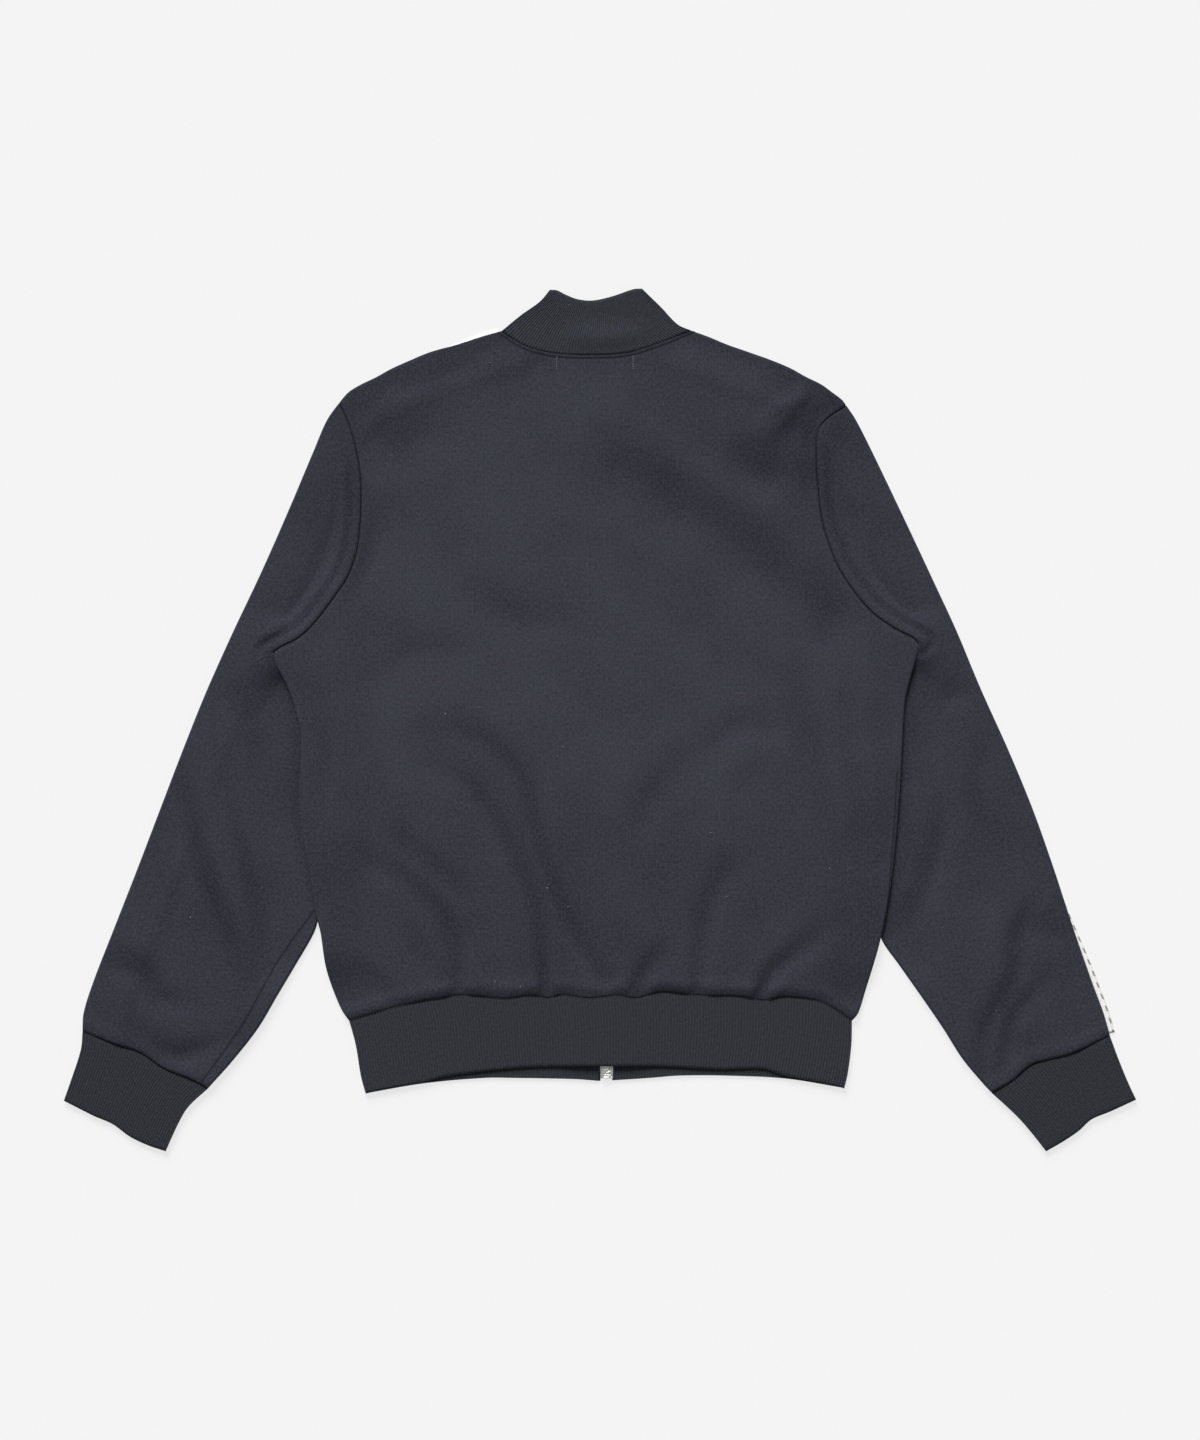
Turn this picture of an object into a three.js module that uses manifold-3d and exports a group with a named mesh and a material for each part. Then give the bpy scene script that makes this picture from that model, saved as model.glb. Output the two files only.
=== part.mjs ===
// Track jacket with a full zip, laid flat on its front with its back up.
// Units are millimetres. +Z is up, +Y points to the collar, +X to the wearer's right side.
// The origin is on the surface, under the middle of the jacket.
import * as THREE from 'three';
import { mergeVertices } from 'three/addons/utils/BufferGeometryUtils.js';
import Module from 'manifold-3d';

const wasm = await Module();
wasm.setup();

// Driving sizes
const CLOTH = 1.5; // jersey wall
const RIB = { wall: 2.0, raised: 0.45, pitch: 2.55 }; // doubled rib knit of collar, cuffs and hem
const SEAM_GAP = 0.3; // between neighbouring pieces
const LAYER_GAP = 0.4; // air between two cloths that lie on each other
const EDGE_BEVEL = 0.9; // how far a cut edge leans back
const FOLD_WALL = 2.4; // cloth left at a folded edge
const MAX_AIR = 3.4; // most air between back and front
const TAPE = { width: 25, thick: 0.8, room: 1.1, plateau: 30, ramp: 44 };
// Where the body's side lies on the sleeve: its lift, in x from start to full, and in y between the fades
const UNDERARM = {
  lift: 4.2, start: 188, full: 231, bottomNone: -236, bottomFull: -196, topFull: 200, topNone: 250,
  seamNear: 4, seamFar: 26,
};
const SHELTER = { inner: 268, outer: 306, bottomNone: -200, bottomFull: -235 }; // a sleeve's free part
// Air under the back: its swell, the ridge beside the armholes, and the least at the hem and over the lift
const BACK_AIR = {
  swell: 2.7, sideReach: 55, edgeReach: 40, ridge: 2.4, ridgeReach: 60, ridgeEdge: 34, hemReach: 26,
  hemShare: 0.6, hemLeast: 0.8, foldStart: -12, foldFull: 18,
  rampLeast: 0.6, rampIn: [165, 190], rampOut: [232, 250],
};
// Air inside a sleeve: its swell, and the ridge beside the armhole
const SLEEVE_AIR = {
  swell: 1.7, edgeReach: 45, seamNear: 10, seamFar: 60, ridge: 2.4, ridgeIn: 7, ridgeOut: 22, ridgeEdge: 34,
};
// The back's rise over the zip, higher over the slider, and gone above it
const ZIP_RISE = {
  near: 14, far: 48, low: 2.0, slider: 2.2, sliderFrom: 225, sliderFull: 258, fadeFrom: 314, fadeTo: 345,
};
const ZIP_X = 5; // the zip's centre line
const ZIP_ROOM = 6; // half the gap between the fronts
const ZIP = {
  tapeWidth: 14, cuts: 26, tapeThick: 0.6, coilWidth: 5.5, coilThick: 1.6,
  top: 311, bottom: -292.8, coilTo: 302,
};
// The zip's middle: low between the fronts, a step at each end of them, and raised at the slider
const COIL_Z = {
  low: 2.1, step: 0.5, hemFrom: -236, hemTo: -222, neckFrom: 232, neckTo: 246,
  slider: 1.6, sliderFrom: 238, sliderTo: 264,
};
const END_BOX = { width: 10.4, length: 11.5, low: 1.2, high: 4.2, corner: 1 };
const SLIDER = {
  y: 299, width: 8.6, length: 11, plate: 0.5, low: 2.7, high: 5.2, corner: 2,
  postWidth: 2.4, postLength: 1.8, postInset: 1.2,
};
const CROWN = { back: 1, reach: 3, post: 0.8, postX: 1, bar: 0.7, floor: 0.3, sunk: 0.2 };
const PULL = {
  axisZ: 1.85, bar: 0.9, armWidth: 1.3, width: 7, length: 30, hole: 4.4, innerHalf: 1.7,
  corner: 1.6, sunk: 0.6,
};

// Colours from the photograph
const NAVY = 0x2f323a;
const NAVY_RIB = 0x2a2d34;
const OFF_WHITE = 0xe6e3da;
const SILVER = 0xb9bab8;

// Outlines seen from above, as rows of x and y
const SHOULDER_LEFT = [
  [-221.5, 269.5], [-213.5, 278.5], [-203, 285], [-190.5, 291], [-177, 298.5], [-161.5, 305.5],
  [-144.5, 312.5], [-121.5, 319], [-99.5, 326], [-83.5, 330.5],
];
const NECK_BACK = [
  [-83.5, 330.5], [-63, 317.5], [-40, 311.5], [-11, 310], [21, 311.5], [47.5, 319], [77, 331],
];
const SHOULDER_RIGHT = [
  [77, 331], [91, 326], [108, 319], [126.5, 312.5], [146, 305.5], [161.5, 299], [175, 291.5],
  [188, 285], [197, 278.5], [205.5, 272], [209, 267.5],
];
const ARMHOLE_LEFT = [
  [-221.5, 269.5], [-212.5, 249.5], [-206.5, 228], [-203, 207], [-202.5, 183], [-203.5, 164],
  [-206.5, 142], [-214, 121], [-224.5, 105], [-239, 85.5], [-253.5, 71], [-268, 63], [-278, 57.5],
];
const ARMHOLE_RIGHT = [
  [209, 267.5], [186.5, 248.5], [183.5, 221.5], [186, 187], [188, 171.5], [193, 152.5],
  [202.5, 129], [217, 106.5], [233, 89], [252.5, 76], [263, 71], [271, 65.5],
];
const SIDE_LEFT = [
  [-278, 57.5], [-276.5, 50.5], [-265, 27.5], [-257.5, 5], [-253.5, -15.5], [-255, -59], [-253.5, -92],
  [-248, -123], [-243, -151], [-239.5, -171], [-237, -181], [-233, -208], [-228, -225.5],
  [-220, -245], [-213, -255.5],
];
const SIDE_RIGHT = [
  [271, 65.5], [270, 59], [260, 22.5], [257.5, 0], [255, -51.5], [251, -102.5], [245.5, -148.5],
  [238, -186], [232, -208], [226, -228], [219.5, -248.5], [214, -255.5],
];
const HEM_SEAM = [
  [-213, -255.5], [-177, -245], [-136, -236], [-110.5, -234], [-80, -236.5], [-57, -233.5],
  [-45, -236.5], [-34, -233.5], [-8.5, -236.5], [15, -234], [30.5, -236.5], [51, -231], [84, -234],
  [122.5, -235], [137.5, -238.5], [155.5, -235], [188.5, -240], [214, -255.5],
];
const HEM_LEFT_EDGE = [[-213, -255.5], [-207.5, -276], [-203, -303], [-199, -317.5]];
const HEM_RIGHT_EDGE = [[214, -255.5], [213.5, -276], [210.5, -300], [207.5, -313]];
const HEM_BACK_EDGE = [
  [-199, -317.5], [-174, -312.5], [-149, -308], [-131, -303], [-72, -296], [-34, -294.5], [51, -294.5],
  [102, -297], [138, -296.5], [155, -302], [183, -307.5], [207.5, -313],
];
const HEM_FRONT_EDGE_LEFT = [
  [-199, -317.5], [-149, -309], [-98, -304.5], [-72, -304.5], [-21.5, -305.5], [-1, -307],
];
const HEM_FRONT_EDGE_RIGHT = [
  [11, -306.5], [42.5, -304.5], [68, -302.5], [106.5, -302.5], [157.5, -305], [207.5, -313],
];
const SLEEVE_LEFT_OUTER = [
  [-221.5, 269.5], [-232, 254.5], [-243, 229], [-264.5, 178], [-287, 127], [-311, 76], [-334, 25],
  [-354.5, -26], [-374, -77], [-393.5, -128], [-411.5, -174], [-430, -221.5], [-438.5, -248.5],
  [-439.5, -264.5],
];
const SLEEVE_LEFT_INNER = [
  [-278, 57.5], [-277.6, 50.2], [-272, 38], [-262, 18], [-251, -8], [-242, -44], [-236.5, -88],
  [-235, -128], [-237, -155], [-240, -172], [-244, -183], [-258.5, -208], [-274.5, -235],
  [-290.5, -262], [-312, -289.5], [-333, -313],
];
const SLEEVE_RIGHT_OUTER = [
  [209, 267.5], [217.5, 254.5], [230.5, 229], [255, 178], [279, 127], [302.5, 76], [324, 25],
  [347, -26], [368, -77], [386, -128], [401, -174], [417.5, -221.5], [427.5, -248.5], [433, -268],
];
const SLEEVE_RIGHT_INNER = [
  [271, 65.5], [271.4, 58.5], [267, 42], [257, 18], [248, -10], [241, -54], [237, -100],
  [234, -140], [234.5, -170], [240, -188], [254, -208], [273, -235], [291.5, -262], [308, -288],
  [325.5, -309], [332.5, -316.5],
];
const CUFF_LEFT_SEAM = [
  [-439.5, -264.5], [-412, -275], [-390, -282.5], [-370.5, -295.5], [-345, -306], [-333, -313],
];
const CUFF_LEFT_END = [
  [-455.5, -323.5], [-430, -336.5], [-414, -343.5], [-399.5, -354], [-384, -361.5], [-369, -366.5],
];
const CUFF_LEFT_OUTER = [[-439.5, -264.5], [-441, -280], [-449, -305], [-455.5, -323.5]];
const CUFF_LEFT_INNER = [[-333, -313], [-350, -329], [-358.5, -343.5], [-369, -366.5]];
const CUFF_RIGHT_SEAM = [
  [433, -268], [398, -284], [380, -288.5], [365.5, -293], [350, -306], [332.5, -316.5],
];
const CUFF_RIGHT_END = [
  [455.5, -322.5], [434, -332.5], [417.5, -339.5], [407, -349], [393, -358.5], [379, -366.5],
];
const CUFF_RIGHT_OUTER = [[433, -268], [441, -289.5], [449.5, -310], [455.5, -322.5]];
const CUFF_RIGHT_INNER = [[332.5, -316.5], [354.5, -337], [366, -350], [379, -366.5]];
const COLLAR_LEFT_EDGE = [[-83.5, 330.5], [-67, 344], [-51, 355.5], [-42.5, 365.5]];
const COLLAR_RIGHT_EDGE = [[77, 331], [66, 336], [52, 350.5], [35.5, 366.5]];
const COLLAR_TOP_BACK = [
  [-42.5, 365.5], [-36, 365], [-29, 361.5], [-18.5, 357.5], [-6, 356.5], [10, 360], [28, 366],
  [35.5, 366.5],
];
const NECK_FRONT_LEFT = [[-1, 250], [-40, 261], [-66, 284], [-80, 311], [-83.5, 330.5]];
const NECK_FRONT_RIGHT = [[77, 331], [74, 311], [62, 284], [42, 261], [11, 250]];
const COLLAR_TOP_LEFT = [[-1, 312], [-20, 325], [-34, 346], [-42.5, 365.5]];
const COLLAR_TOP_RIGHT = [[35.5, 366.5], [31, 346], [23, 325], [11, 312]];

// Folds: half width, depth (a ridge is negative) and the line that each follows
const BACK_FOLDS = [
  { half: 10, depth: 2.6, line: [[-146, -13], [-105, -16], [-67, -51], [-49, -113], [-26, -171], [4, -220]] },
  { half: 9, depth: 2.4, line: [[-146, -39], [-110, -54], [-75, -113], [-52, -171], [-46, -232]] },
  { half: 9, depth: 2.2, line: [[-207, -113], [-151, -148], [-123, -189], [-120, -227]] },
  { half: 9, depth: 2.0, line: [[-172, -97], [-136, -130], [-118, -148]] },
  { half: 9, depth: 1.6, line: [[-223, -210], [-195, -222], [-177, -240]] },
  { half: 8, depth: 2.4, line: [[30, -232], [41, -212], [56, -196]] },
  { half: 9, depth: 1.8, line: [[81, -225], [87, -186], [94, -151], [120, -113]] },
  { half: 9, depth: 2.0, line: [[137, -232], [148, -212], [168, -197], [189, -176]] },
  { half: 10, depth: 1.5, line: [[28, -105], [48, -59], [74, -28]] },
  { half: 9, depth: 1.3, line: [[89, -39], [112, -5], [153, -9]] },
  { half: 10, depth: 1.5, line: [[158, 45], [186, -36], [199, -115], [212, -200]] },
  { half: 22, depth: 1.6, line: [[9, 219], [71, 178], [107, 154], [185, 95]] },
  { half: 16, depth: 1.6, line: [[95, 233], [140, 207], [152, 221], [172, 262]] },
  { half: 14, depth: 1.3, line: [[-175, 283], [-141, 290], [-104, 305]] },
  { half: 16, depth: 1.3, line: [[-204, 267], [-170, 233], [-136, 255]] },
  { half: 12, depth: 1.3, line: [[-184, 166], [-199, 135], [-211, 109]] },
  { half: 9, depth: 1.4, line: [[210, 50], [205, 0], [217, -72], [222, -150]] },
  { half: 9, depth: 1.2, line: [[-247, 22], [-240, -23], [-243, -77]] },
];
const SLEEVE_LEFT_FOLDS = [
  { half: 10, depth: 2.0, line: [[-354, -56], [-338, -108], [-315, -189], [-299, -221]] },
  { half: 8, depth: 1.6, line: [[-319, -44], [-309, -108], [-286, -215]] },
  { half: 9, depth: 1.6, line: [[-416, -202], [-387, -215], [-374, -234], [-351, -237]] },
  { half: 8, depth: 1.4, line: [[-380, -276], [-361, -284], [-326, -275]] },
];
const SLEEVE_RIGHT_FOLDS = [
  { half: 10, depth: 2.0, line: [[359, -99], [357, -153], [333, -257], [328, -299]] },
  { half: 8, depth: 1.6, line: [[369, -228], [353, -260], [346, -290]] },
  { half: 9, depth: 1.8, line: [[285, -27], [281, -85], [268, -134], [250, -175]] },
  { half: 10, depth: 1.2, line: [[313, 37], [285, 24]] },
  { half: 10, depth: 1.2, line: [[398, -173], [365, -179]] },
];

// How many parts each stretch is cut into
const ARMHOLE_STEPS = [0, 0.06, 0.125, 0.2, 0.3, 0.4, 0.5, 0.6, 0.7, 0.8, 0.9, 1];
const SIDE_STEPS = [
  0.022, 0.06, 0.11, 0.18, 0.26, 0.34, 0.41, 0.48, 0.55, 0.62, 0.69, 0.76, 0.83, 0.89, 0.95, 1,
];
const SLEEVE_STEPS = [
  0.013, 0.03, 0.05, 0.09, 0.15, 0.23, 0.31, 0.39, 0.47, 0.55, 0.63, 0.7, 0.77, 0.84, 0.91, 0.96, 1,
];
const BACK_COLUMNS = { shoulder: 11, neck: 12 };
const FRONT_COLUMNS = { shoulder: 7, neck: 4 };
const SLEEVE_COLUMNS = { top: 11, bottom: 5 };
const ARMHOLE_START = 0.15; // the sleeve's first row starts this share of a step below the shoulder
const SEAM_BOW = 6; // the power by which the last rows bend to the cuff's seam
const CUFF = { rows: 2, endCuts: 16, plain: 6, hollow: 0.7 };
const HEM = { rows: 2, backCuts: 60, frontCuts: 20, zipShare: 0.9 };
const COLLAR = {
  rows: 3, backCuts: 24, frontCuts: 12, frontColumns: 8, lift: 0.5, liftFrom: 310, liftTo: 340,
};
const LINING = { ribs: 12, fold: 0.6 }; // ribs that one plain step spans, and how far the fold is drawn in
const TAPE_PATH = { shoulderCuts: 14, sleeveCuts: 30, cuts: 28, from: 0.012, to: 0.998, inset: 1.5 };
// Where a tape slips out: how far, and the places between which it starts and ends
const SLIP_LEFT = { reach: 6.5, from: -150, full: -125, back: -98, end: -88, low: 300, high: 312 };
const SLIP_RIGHT = { reach: 7.5, from: -150, full: -240 };
const HALVINGS = 40; // steps of a search along a line

const smooth = (low, high, x) => {
  const t = Math.min(1, Math.max(0, (x - low) / (high - low)));
  return t * t * (3 - 2 * t);
};
const mix = (a, b, t) => a.map((value, k) => value + (b[k] - value) * t);
const range = (count) => Array.from({ length: count + 1 }, (_, k) => k / count);

// The length from the first point to each point, in the plan, with a little added to each step.
function runningLength(points, extra = 0) {
  const marks = [0];
  for (let k = 1; k < points.length; k++) {
    const step = Math.hypot(points[k][0] - points[k - 1][0], points[k][1] - points[k - 1][1]);
    marks.push(marks[k - 1] + extra + step);
  }
  return marks;
}

// A smooth curve through the rows of an outline: at(f) gives the point at a share f of its length.
function curve(rows) {
  const marks = runningLength(rows);
  const last = rows.length - 1;
  const slope = (k, axis) => {
    const a = Math.max(0, k - 1);
    const b = Math.min(last, k + 1);
    return (rows[b][axis] - rows[a][axis]) / (marks[b] - marks[a]);
  };
  const at = (f) => {
    const s = Math.min(1, Math.max(0, f)) * marks[last];
    let k = 0;
    while (k < last - 1 && marks[k + 1] < s) k++;
    const span = marks[k + 1] - marks[k];
    const t = (s - marks[k]) / span;
    const hermite = [
      2 * t ** 3 - 3 * t ** 2 + 1, t ** 3 - 2 * t ** 2 + t, 3 * t ** 2 - 2 * t ** 3, t ** 3 - t ** 2,
    ];
    return [0, 1].map((axis) =>
      hermite[0] * rows[k][axis] + hermite[1] * span * slope(k, axis)
      + hermite[2] * rows[k + 1][axis] + hermite[3] * span * slope(k + 1, axis));
  };
  return { at, length: marks[last] };
}

// A chain of straight lines through points, with the same at(f).
function chain(points) {
  const marks = runningLength(points);
  const last = points.length - 1;
  return (f) => {
    const s = Math.min(1, Math.max(0, f)) * marks[last];
    let k = 0;
    while (k < last - 1 && marks[k + 1] < s) k++;
    return mix(points[k], points[k + 1], (s - marks[k]) / (marks[k + 1] - marks[k]));
  };
}

// The points moved sideways in the plan, to the left of their direction of travel.
function moved(points, distance) {
  return points.map((point, k) => {
    const before = points[Math.max(0, k - 1)];
    const after = points[Math.min(points.length - 1, k + 1)];
    const length = Math.hypot(after[0] - before[0], after[1] - before[1]);
    return [
      point[0] - (after[1] - before[1]) / length * distance,
      point[1] + (after[0] - before[0]) / length * distance,
    ];
  });
}

function distanceTo(line, x, y) {
  let best = Infinity;
  for (let k = 1; k < line.length; k++) {
    const [ax, ay] = line[k - 1];
    const [bx, by] = line[k];
    const t = ((x - ax) * (bx - ax) + (y - ay) * (by - ay)) / ((bx - ax) ** 2 + (by - ay) ** 2);
    const c = Math.min(1, Math.max(0, t));
    best = Math.min(best, Math.hypot(x - ax - c * (bx - ax), y - ay - c * (by - ay)));
  }
  return best;
}

// Four edges, each a row of plan points, filled in between. grid[j][i] runs down and across.
function fill(top, bottom, left, right) {
  return left.map((l, j) => {
    const v = j / (left.length - 1);
    return top.map((t, i) => {
      const u = i / (top.length - 1);
      return [0, 1].map((a) =>
        (1 - v) * t[a] + v * bottom[i][a] + (1 - u) * l[a] + u * right[j][a]
        - (1 - u) * (1 - v) * top[0][a] - u * (1 - v) * top.at(-1)[a]
        - (1 - u) * v * bottom[0][a] - u * v * bottom.at(-1)[a]);
    });
  });
}

// The share of a line, found by halving, before which its points meet a test.
function shareWhere(at, before) {
  let low = 0;
  let high = 1;
  for (let k = 0; k < HALVINGS; k++) {
    const middle = (low + high) / 2;
    if (before(at(middle))) low = middle;
    else high = middle;
  }
  return low;
}

// How far along its own plan length each point of a row lies, from 0 to 1.
function shares(points) {
  const marks = runningLength(points, 1e-6);
  return marks.map((mark) => mark / marks.at(-1));
}

// Two rows of points joined by triangles, stepping along whichever lags behind.
function zipper(p, q, flip, triangles, points) {
  const shareP = shares(p.map((n) => points[n]));
  const shareQ = shares(q.map((n) => points[n]));
  let i = 0;
  let k = 0;
  while (i < p.length - 1 || k < q.length - 1) {
    const lags = i < p.length - 1 && shareP[i + 1] + shareP[i] <= shareQ[k + 1] + shareQ[k];
    const stepP = k === q.length - 1 || lags;
    const [a, b, c] = stepP ? [p[i + 1], p[i], q[k]] : [q[k], q[k + 1], p[i]];
    triangles.push(flip ? [a, c, b] : [a, b, c]);
    if (stepP) i++;
    else k++;
  }
}

// A cloth wall between an outer and an inner grid of points. A tube's ends of each row meet from
// row closedFrom on; before that row they are free edges.
function wall(outer, inner, closedFrom = Infinity) {
  const points = [];
  const triangles = [];
  const number = (grid) => grid.map((row) => row.map((point) => points.push(point) - 1));
  const sheet = (grid, flip) => {
    for (let j = 0; j < grid.length - 1; j++) {
      const joined = j >= closedFrom ? 1 : 0;
      for (let i = 0; i < grid[j].length - 1 + joined; i++) {
        const n = (i + 1) % grid[j].length;
        const corners = [grid[j][i], grid[j][n], grid[j + 1][n], grid[j + 1][i]];
        if (flip) corners.reverse();
        triangles.push([corners[0], corners[1], corners[2]], [corners[0], corners[2], corners[3]]);
      }
    }
  };
  const a = number(outer);
  const b = number(inner);
  sheet(a, false);
  sheet(b, true);
  const ring = (row, j) => (j >= closedFrom ? [...row, row[0]] : row);
  const openRows = (grid) => grid.slice(0, Math.min(grid.length, closedFrom + 1));
  const end = a.length - 1;
  zipper(ring(a[0], 0), ring(b[0], 0), false, triangles, points);
  zipper(ring(a[end], end), ring(b.at(-1), end), true, triangles, points);
  if (closedFrom > 0) {
    for (const [place, flip] of [[0, true], [-1, false]]) {
      const column = (grid) => openRows(grid).map((row) => row.at(place));
      zipper(column(a), column(b), flip, triangles, points);
    }
  }
  if (closedFrom > 0 && closedFrom < Infinity) {
    const step = (grid) => [grid[closedFrom].at(-1), grid[closedFrom][0]];
    zipper(step(a), step(b), false, triangles, points);
  }
  const volume = triangles.reduce((sum, [i, j, k]) => {
    const [p, q, r] = [points[i], points[j], points[k]];
    return sum + p[0] * (q[1] * r[2] - q[2] * r[1]) + p[1] * (q[2] * r[0] - q[0] * r[2])
      + p[2] * (q[0] * r[1] - q[1] * r[0]);
  }, 0);
  if (volume < 0) triangles.forEach((t) => t.reverse());
  const geometry = new THREE.BufferGeometry();
  geometry.setAttribute('position', new THREE.Float32BufferAttribute(points.flat(), 3));
  geometry.setIndex(triangles.flat());
  geometry.computeVertexNormals();
  return geometry;
}

// Outlines shared by neighbouring pieces
const leftSide = [
  ...ARMHOLE_STEPS.map((f) => curve(ARMHOLE_LEFT).at(f)),
  ...SIDE_STEPS.map((f) => curve(SIDE_LEFT).at(f)),
];
const rightSide = [
  ...ARMHOLE_STEPS.map((f) => curve(ARMHOLE_RIGHT).at(f)),
  ...SIDE_STEPS.map((f) => curve(SIDE_RIGHT).at(f)),
];
const LEFT_EDGE_LINE = [...SLEEVE_LEFT_OUTER.toReversed(), ...SHOULDER_LEFT.slice(1)];
const RIGHT_EDGE_LINE = [...SHOULDER_RIGHT, ...SLEEVE_RIGHT_OUTER.slice(1)];
const edgeLine = (x) => (x < 0 ? LEFT_EDGE_LINE : RIGHT_EDGE_LINE);
const armhole = (x) => (x < 0 ? ARMHOLE_LEFT : ARMHOLE_RIGHT);

// Heights of the under layer's lower face: over the shoulder tape, and where the body lies on the sleeve
const tapeRoom = (x, y) => TAPE.room * (1 - smooth(TAPE.plateau, TAPE.ramp, distanceTo(edgeLine(x), x, y)));
const bodyLift = (x, y) =>
  UNDERARM.lift * smooth(UNDERARM.start, UNDERARM.full, Math.abs(x))
  * smooth(UNDERARM.bottomNone, UNDERARM.bottomFull, y)
  * (1 - smooth(UNDERARM.topFull, UNDERARM.topNone, y));
const underBody = (x, y) => Math.max(tapeRoom(x, y), bodyLift(x, y));
const underSleeve = (x, y) => {
  const near = 1 - smooth(UNDERARM.seamNear, UNDERARM.seamFar, distanceTo(armhole(x), x, y));
  return Math.max(tapeRoom(x, y), bodyLift(x, y) * near);
};

const zipRise = (x, y) => {
  const { near, far, low, slider, sliderFrom, sliderFull, fadeFrom, fadeTo } = ZIP_RISE;
  const height = low + slider * smooth(sliderFrom, sliderFull, y);
  return (1 - smooth(near, far, Math.abs(x - ZIP_X))) * height * (1 - smooth(fadeFrom, fadeTo, y));
};
const foldDepth = (folds, x, y) => folds.reduce(
  (sum, { half, depth, line }) => sum + depth * Math.exp(-((distanceTo(line, x, y) / half) ** 2)), 0,
);

// Air between the under layer and the back: a swell or the ridge, less the folds, and never too little
function airUnderBack(x, y) {
  const air = BACK_AIR;
  const edge = distanceTo(edgeLine(x), x, y);
  const seam = distanceTo(armhole(x), x, y);
  const side = distanceTo(x < 0 ? SIDE_LEFT : SIDE_RIGHT, x, y);
  const hem = 1 - smooth(0, air.hemReach, distanceTo(HEM_SEAM, x, y));
  const inside = smooth(0, air.sideReach, side) * smooth(0, air.edgeReach, edge);
  const swell = air.swell * inside * (1 - air.hemShare * hem);
  const ridge = air.ridge * (1 - smooth(0, air.ridgeReach, seam)) * smooth(0, air.ridgeEdge, edge);
  const folds = foldDepth(BACK_FOLDS, x, y) * smooth(air.foldStart, air.foldFull, seam);
  const ramp = smooth(...air.rampIn, Math.abs(x)) * (1 - smooth(...air.rampOut, Math.abs(x)));
  const least = LAYER_GAP + Math.max(air.hemLeast * hem, air.rampLeast * ramp, zipRise(x, y));
  return Math.max(Math.min(MAX_AIR, Math.max(swell, ridge) - folds), least);
}

// Air inside a sleeve, with the ridge that stands beside the armhole seam
function airInSleeve(folds, x, y) {
  const air = SLEEVE_AIR;
  const edge = distanceTo(edgeLine(x), x, y);
  const seam = distanceTo(armhole(x), x, y);
  const ridge = air.ridge * (1 - smooth(air.ridgeIn, air.ridgeOut, seam)) * smooth(0, air.ridgeEdge, edge);
  const free = Math.max(
    smooth(SHELTER.inner, SHELTER.outer, Math.abs(x)), smooth(SHELTER.bottomNone, SHELTER.bottomFull, y),
  );
  const swell = air.swell * free * smooth(0, air.edgeReach, edge) * smooth(air.seamNear, air.seamFar, seam);
  return LAYER_GAP + Math.min(MAX_AIR, Math.max(0, ridge, swell - foldDepth(folds, x, y)));
}

const lift = (grid, height) => grid.map((row) => row.map(([x, y]) => [x, y, height(x, y)]));

// The back and the two fronts
const sample = (rows, count) => range(count).map((f) => curve(rows).at(f));
const sampleChain = (points, count) => range(count).map((f) => chain(points)(f));
const backTop = [
  ...sample(SHOULDER_LEFT, BACK_COLUMNS.shoulder), ...sample(NECK_BACK, BACK_COLUMNS.neck).slice(1),
  ...sample(SHOULDER_RIGHT, BACK_COLUMNS.shoulder).slice(1),
];
const backHem = sample(HEM_SEAM, backTop.length - 1);

// The four edges of a sheet, each drawn in by the inset, filled in between
function sheetGrid(top, bottom, left, right, inset) {
  const t = moved(top, -inset);
  const b = moved(bottom, inset);
  const l = moved(left, inset);
  const r = moved(right, -inset);
  const corner = (p, q, base) => [p[0] + q[0] - base[0], p[1] + q[1] - base[1]];
  t[0] = l[0] = corner(t[0], l[0], top[0]);
  t[t.length - 1] = r[0] = corner(t.at(-1), r[0], top.at(-1));
  b[0] = l[l.length - 1] = corner(b[0], l.at(-1), bottom[0]);
  b[b.length - 1] = r[r.length - 1] = corner(b.at(-1), r.at(-1), bottom.at(-1));
  return fill(t, b, l, r);
}

function backPanel() {
  const half = SEAM_GAP / 2;
  const under = (x, y) => underBody(x, y) + CLOTH + airUnderBack(x, y);
  const lower = sheetGrid(backTop, backHem, leftSide, rightSide, half);
  const upper = sheetGrid(backTop, backHem, leftSide, rightSide, half + EDGE_BEVEL);
  return wall(lift(upper, (x, y) => under(x, y) + CLOTH), lift(lower, under));
}

const zipEdge = (top, bottom) => range(leftSide.length - 1).map((f) => mix(top, bottom, f));
const frontTopLeft = [
  ...sample(SHOULDER_LEFT, FRONT_COLUMNS.shoulder),
  ...sample(NECK_FRONT_LEFT.toReversed(), FRONT_COLUMNS.neck).slice(1),
];
const frontTopRight = [
  ...sample(NECK_FRONT_RIGHT.toReversed(), FRONT_COLUMNS.neck),
  ...sample(SHOULDER_RIGHT, FRONT_COLUMNS.shoulder).slice(1),
];
const hemChain = chain(backHem);
const hemShare = (x) => shareWhere(hemChain, (point) => point[0] < x);
const zipLeftX = ZIP_X - ZIP_ROOM;
const zipRightX = ZIP_X + ZIP_ROOM;
const frontHemLeft = range(frontTopLeft.length - 1).map((f) => hemChain(f * hemShare(zipLeftX)));
const frontHemRight = range(frontTopRight.length - 1).map(
  (f) => hemChain(1 - (1 - f) * (1 - hemShare(zipRightX))));

function frontPanel(top, hem, left, right) {
  const half = SEAM_GAP / 2;
  const lower = sheetGrid(top, hem, left, right, half + EDGE_BEVEL);
  const upper = sheetGrid(top, hem, left, right, half);
  return wall(lift(upper, (x, y) => underBody(x, y) + CLOTH), lift(lower, underBody));
}

// A sleeve: rows run from its outer fold to the armhole, then to its own inner fold
const heightShare = (line, y) => shareWhere(line.at, (point) => point[1] > y);

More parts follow.
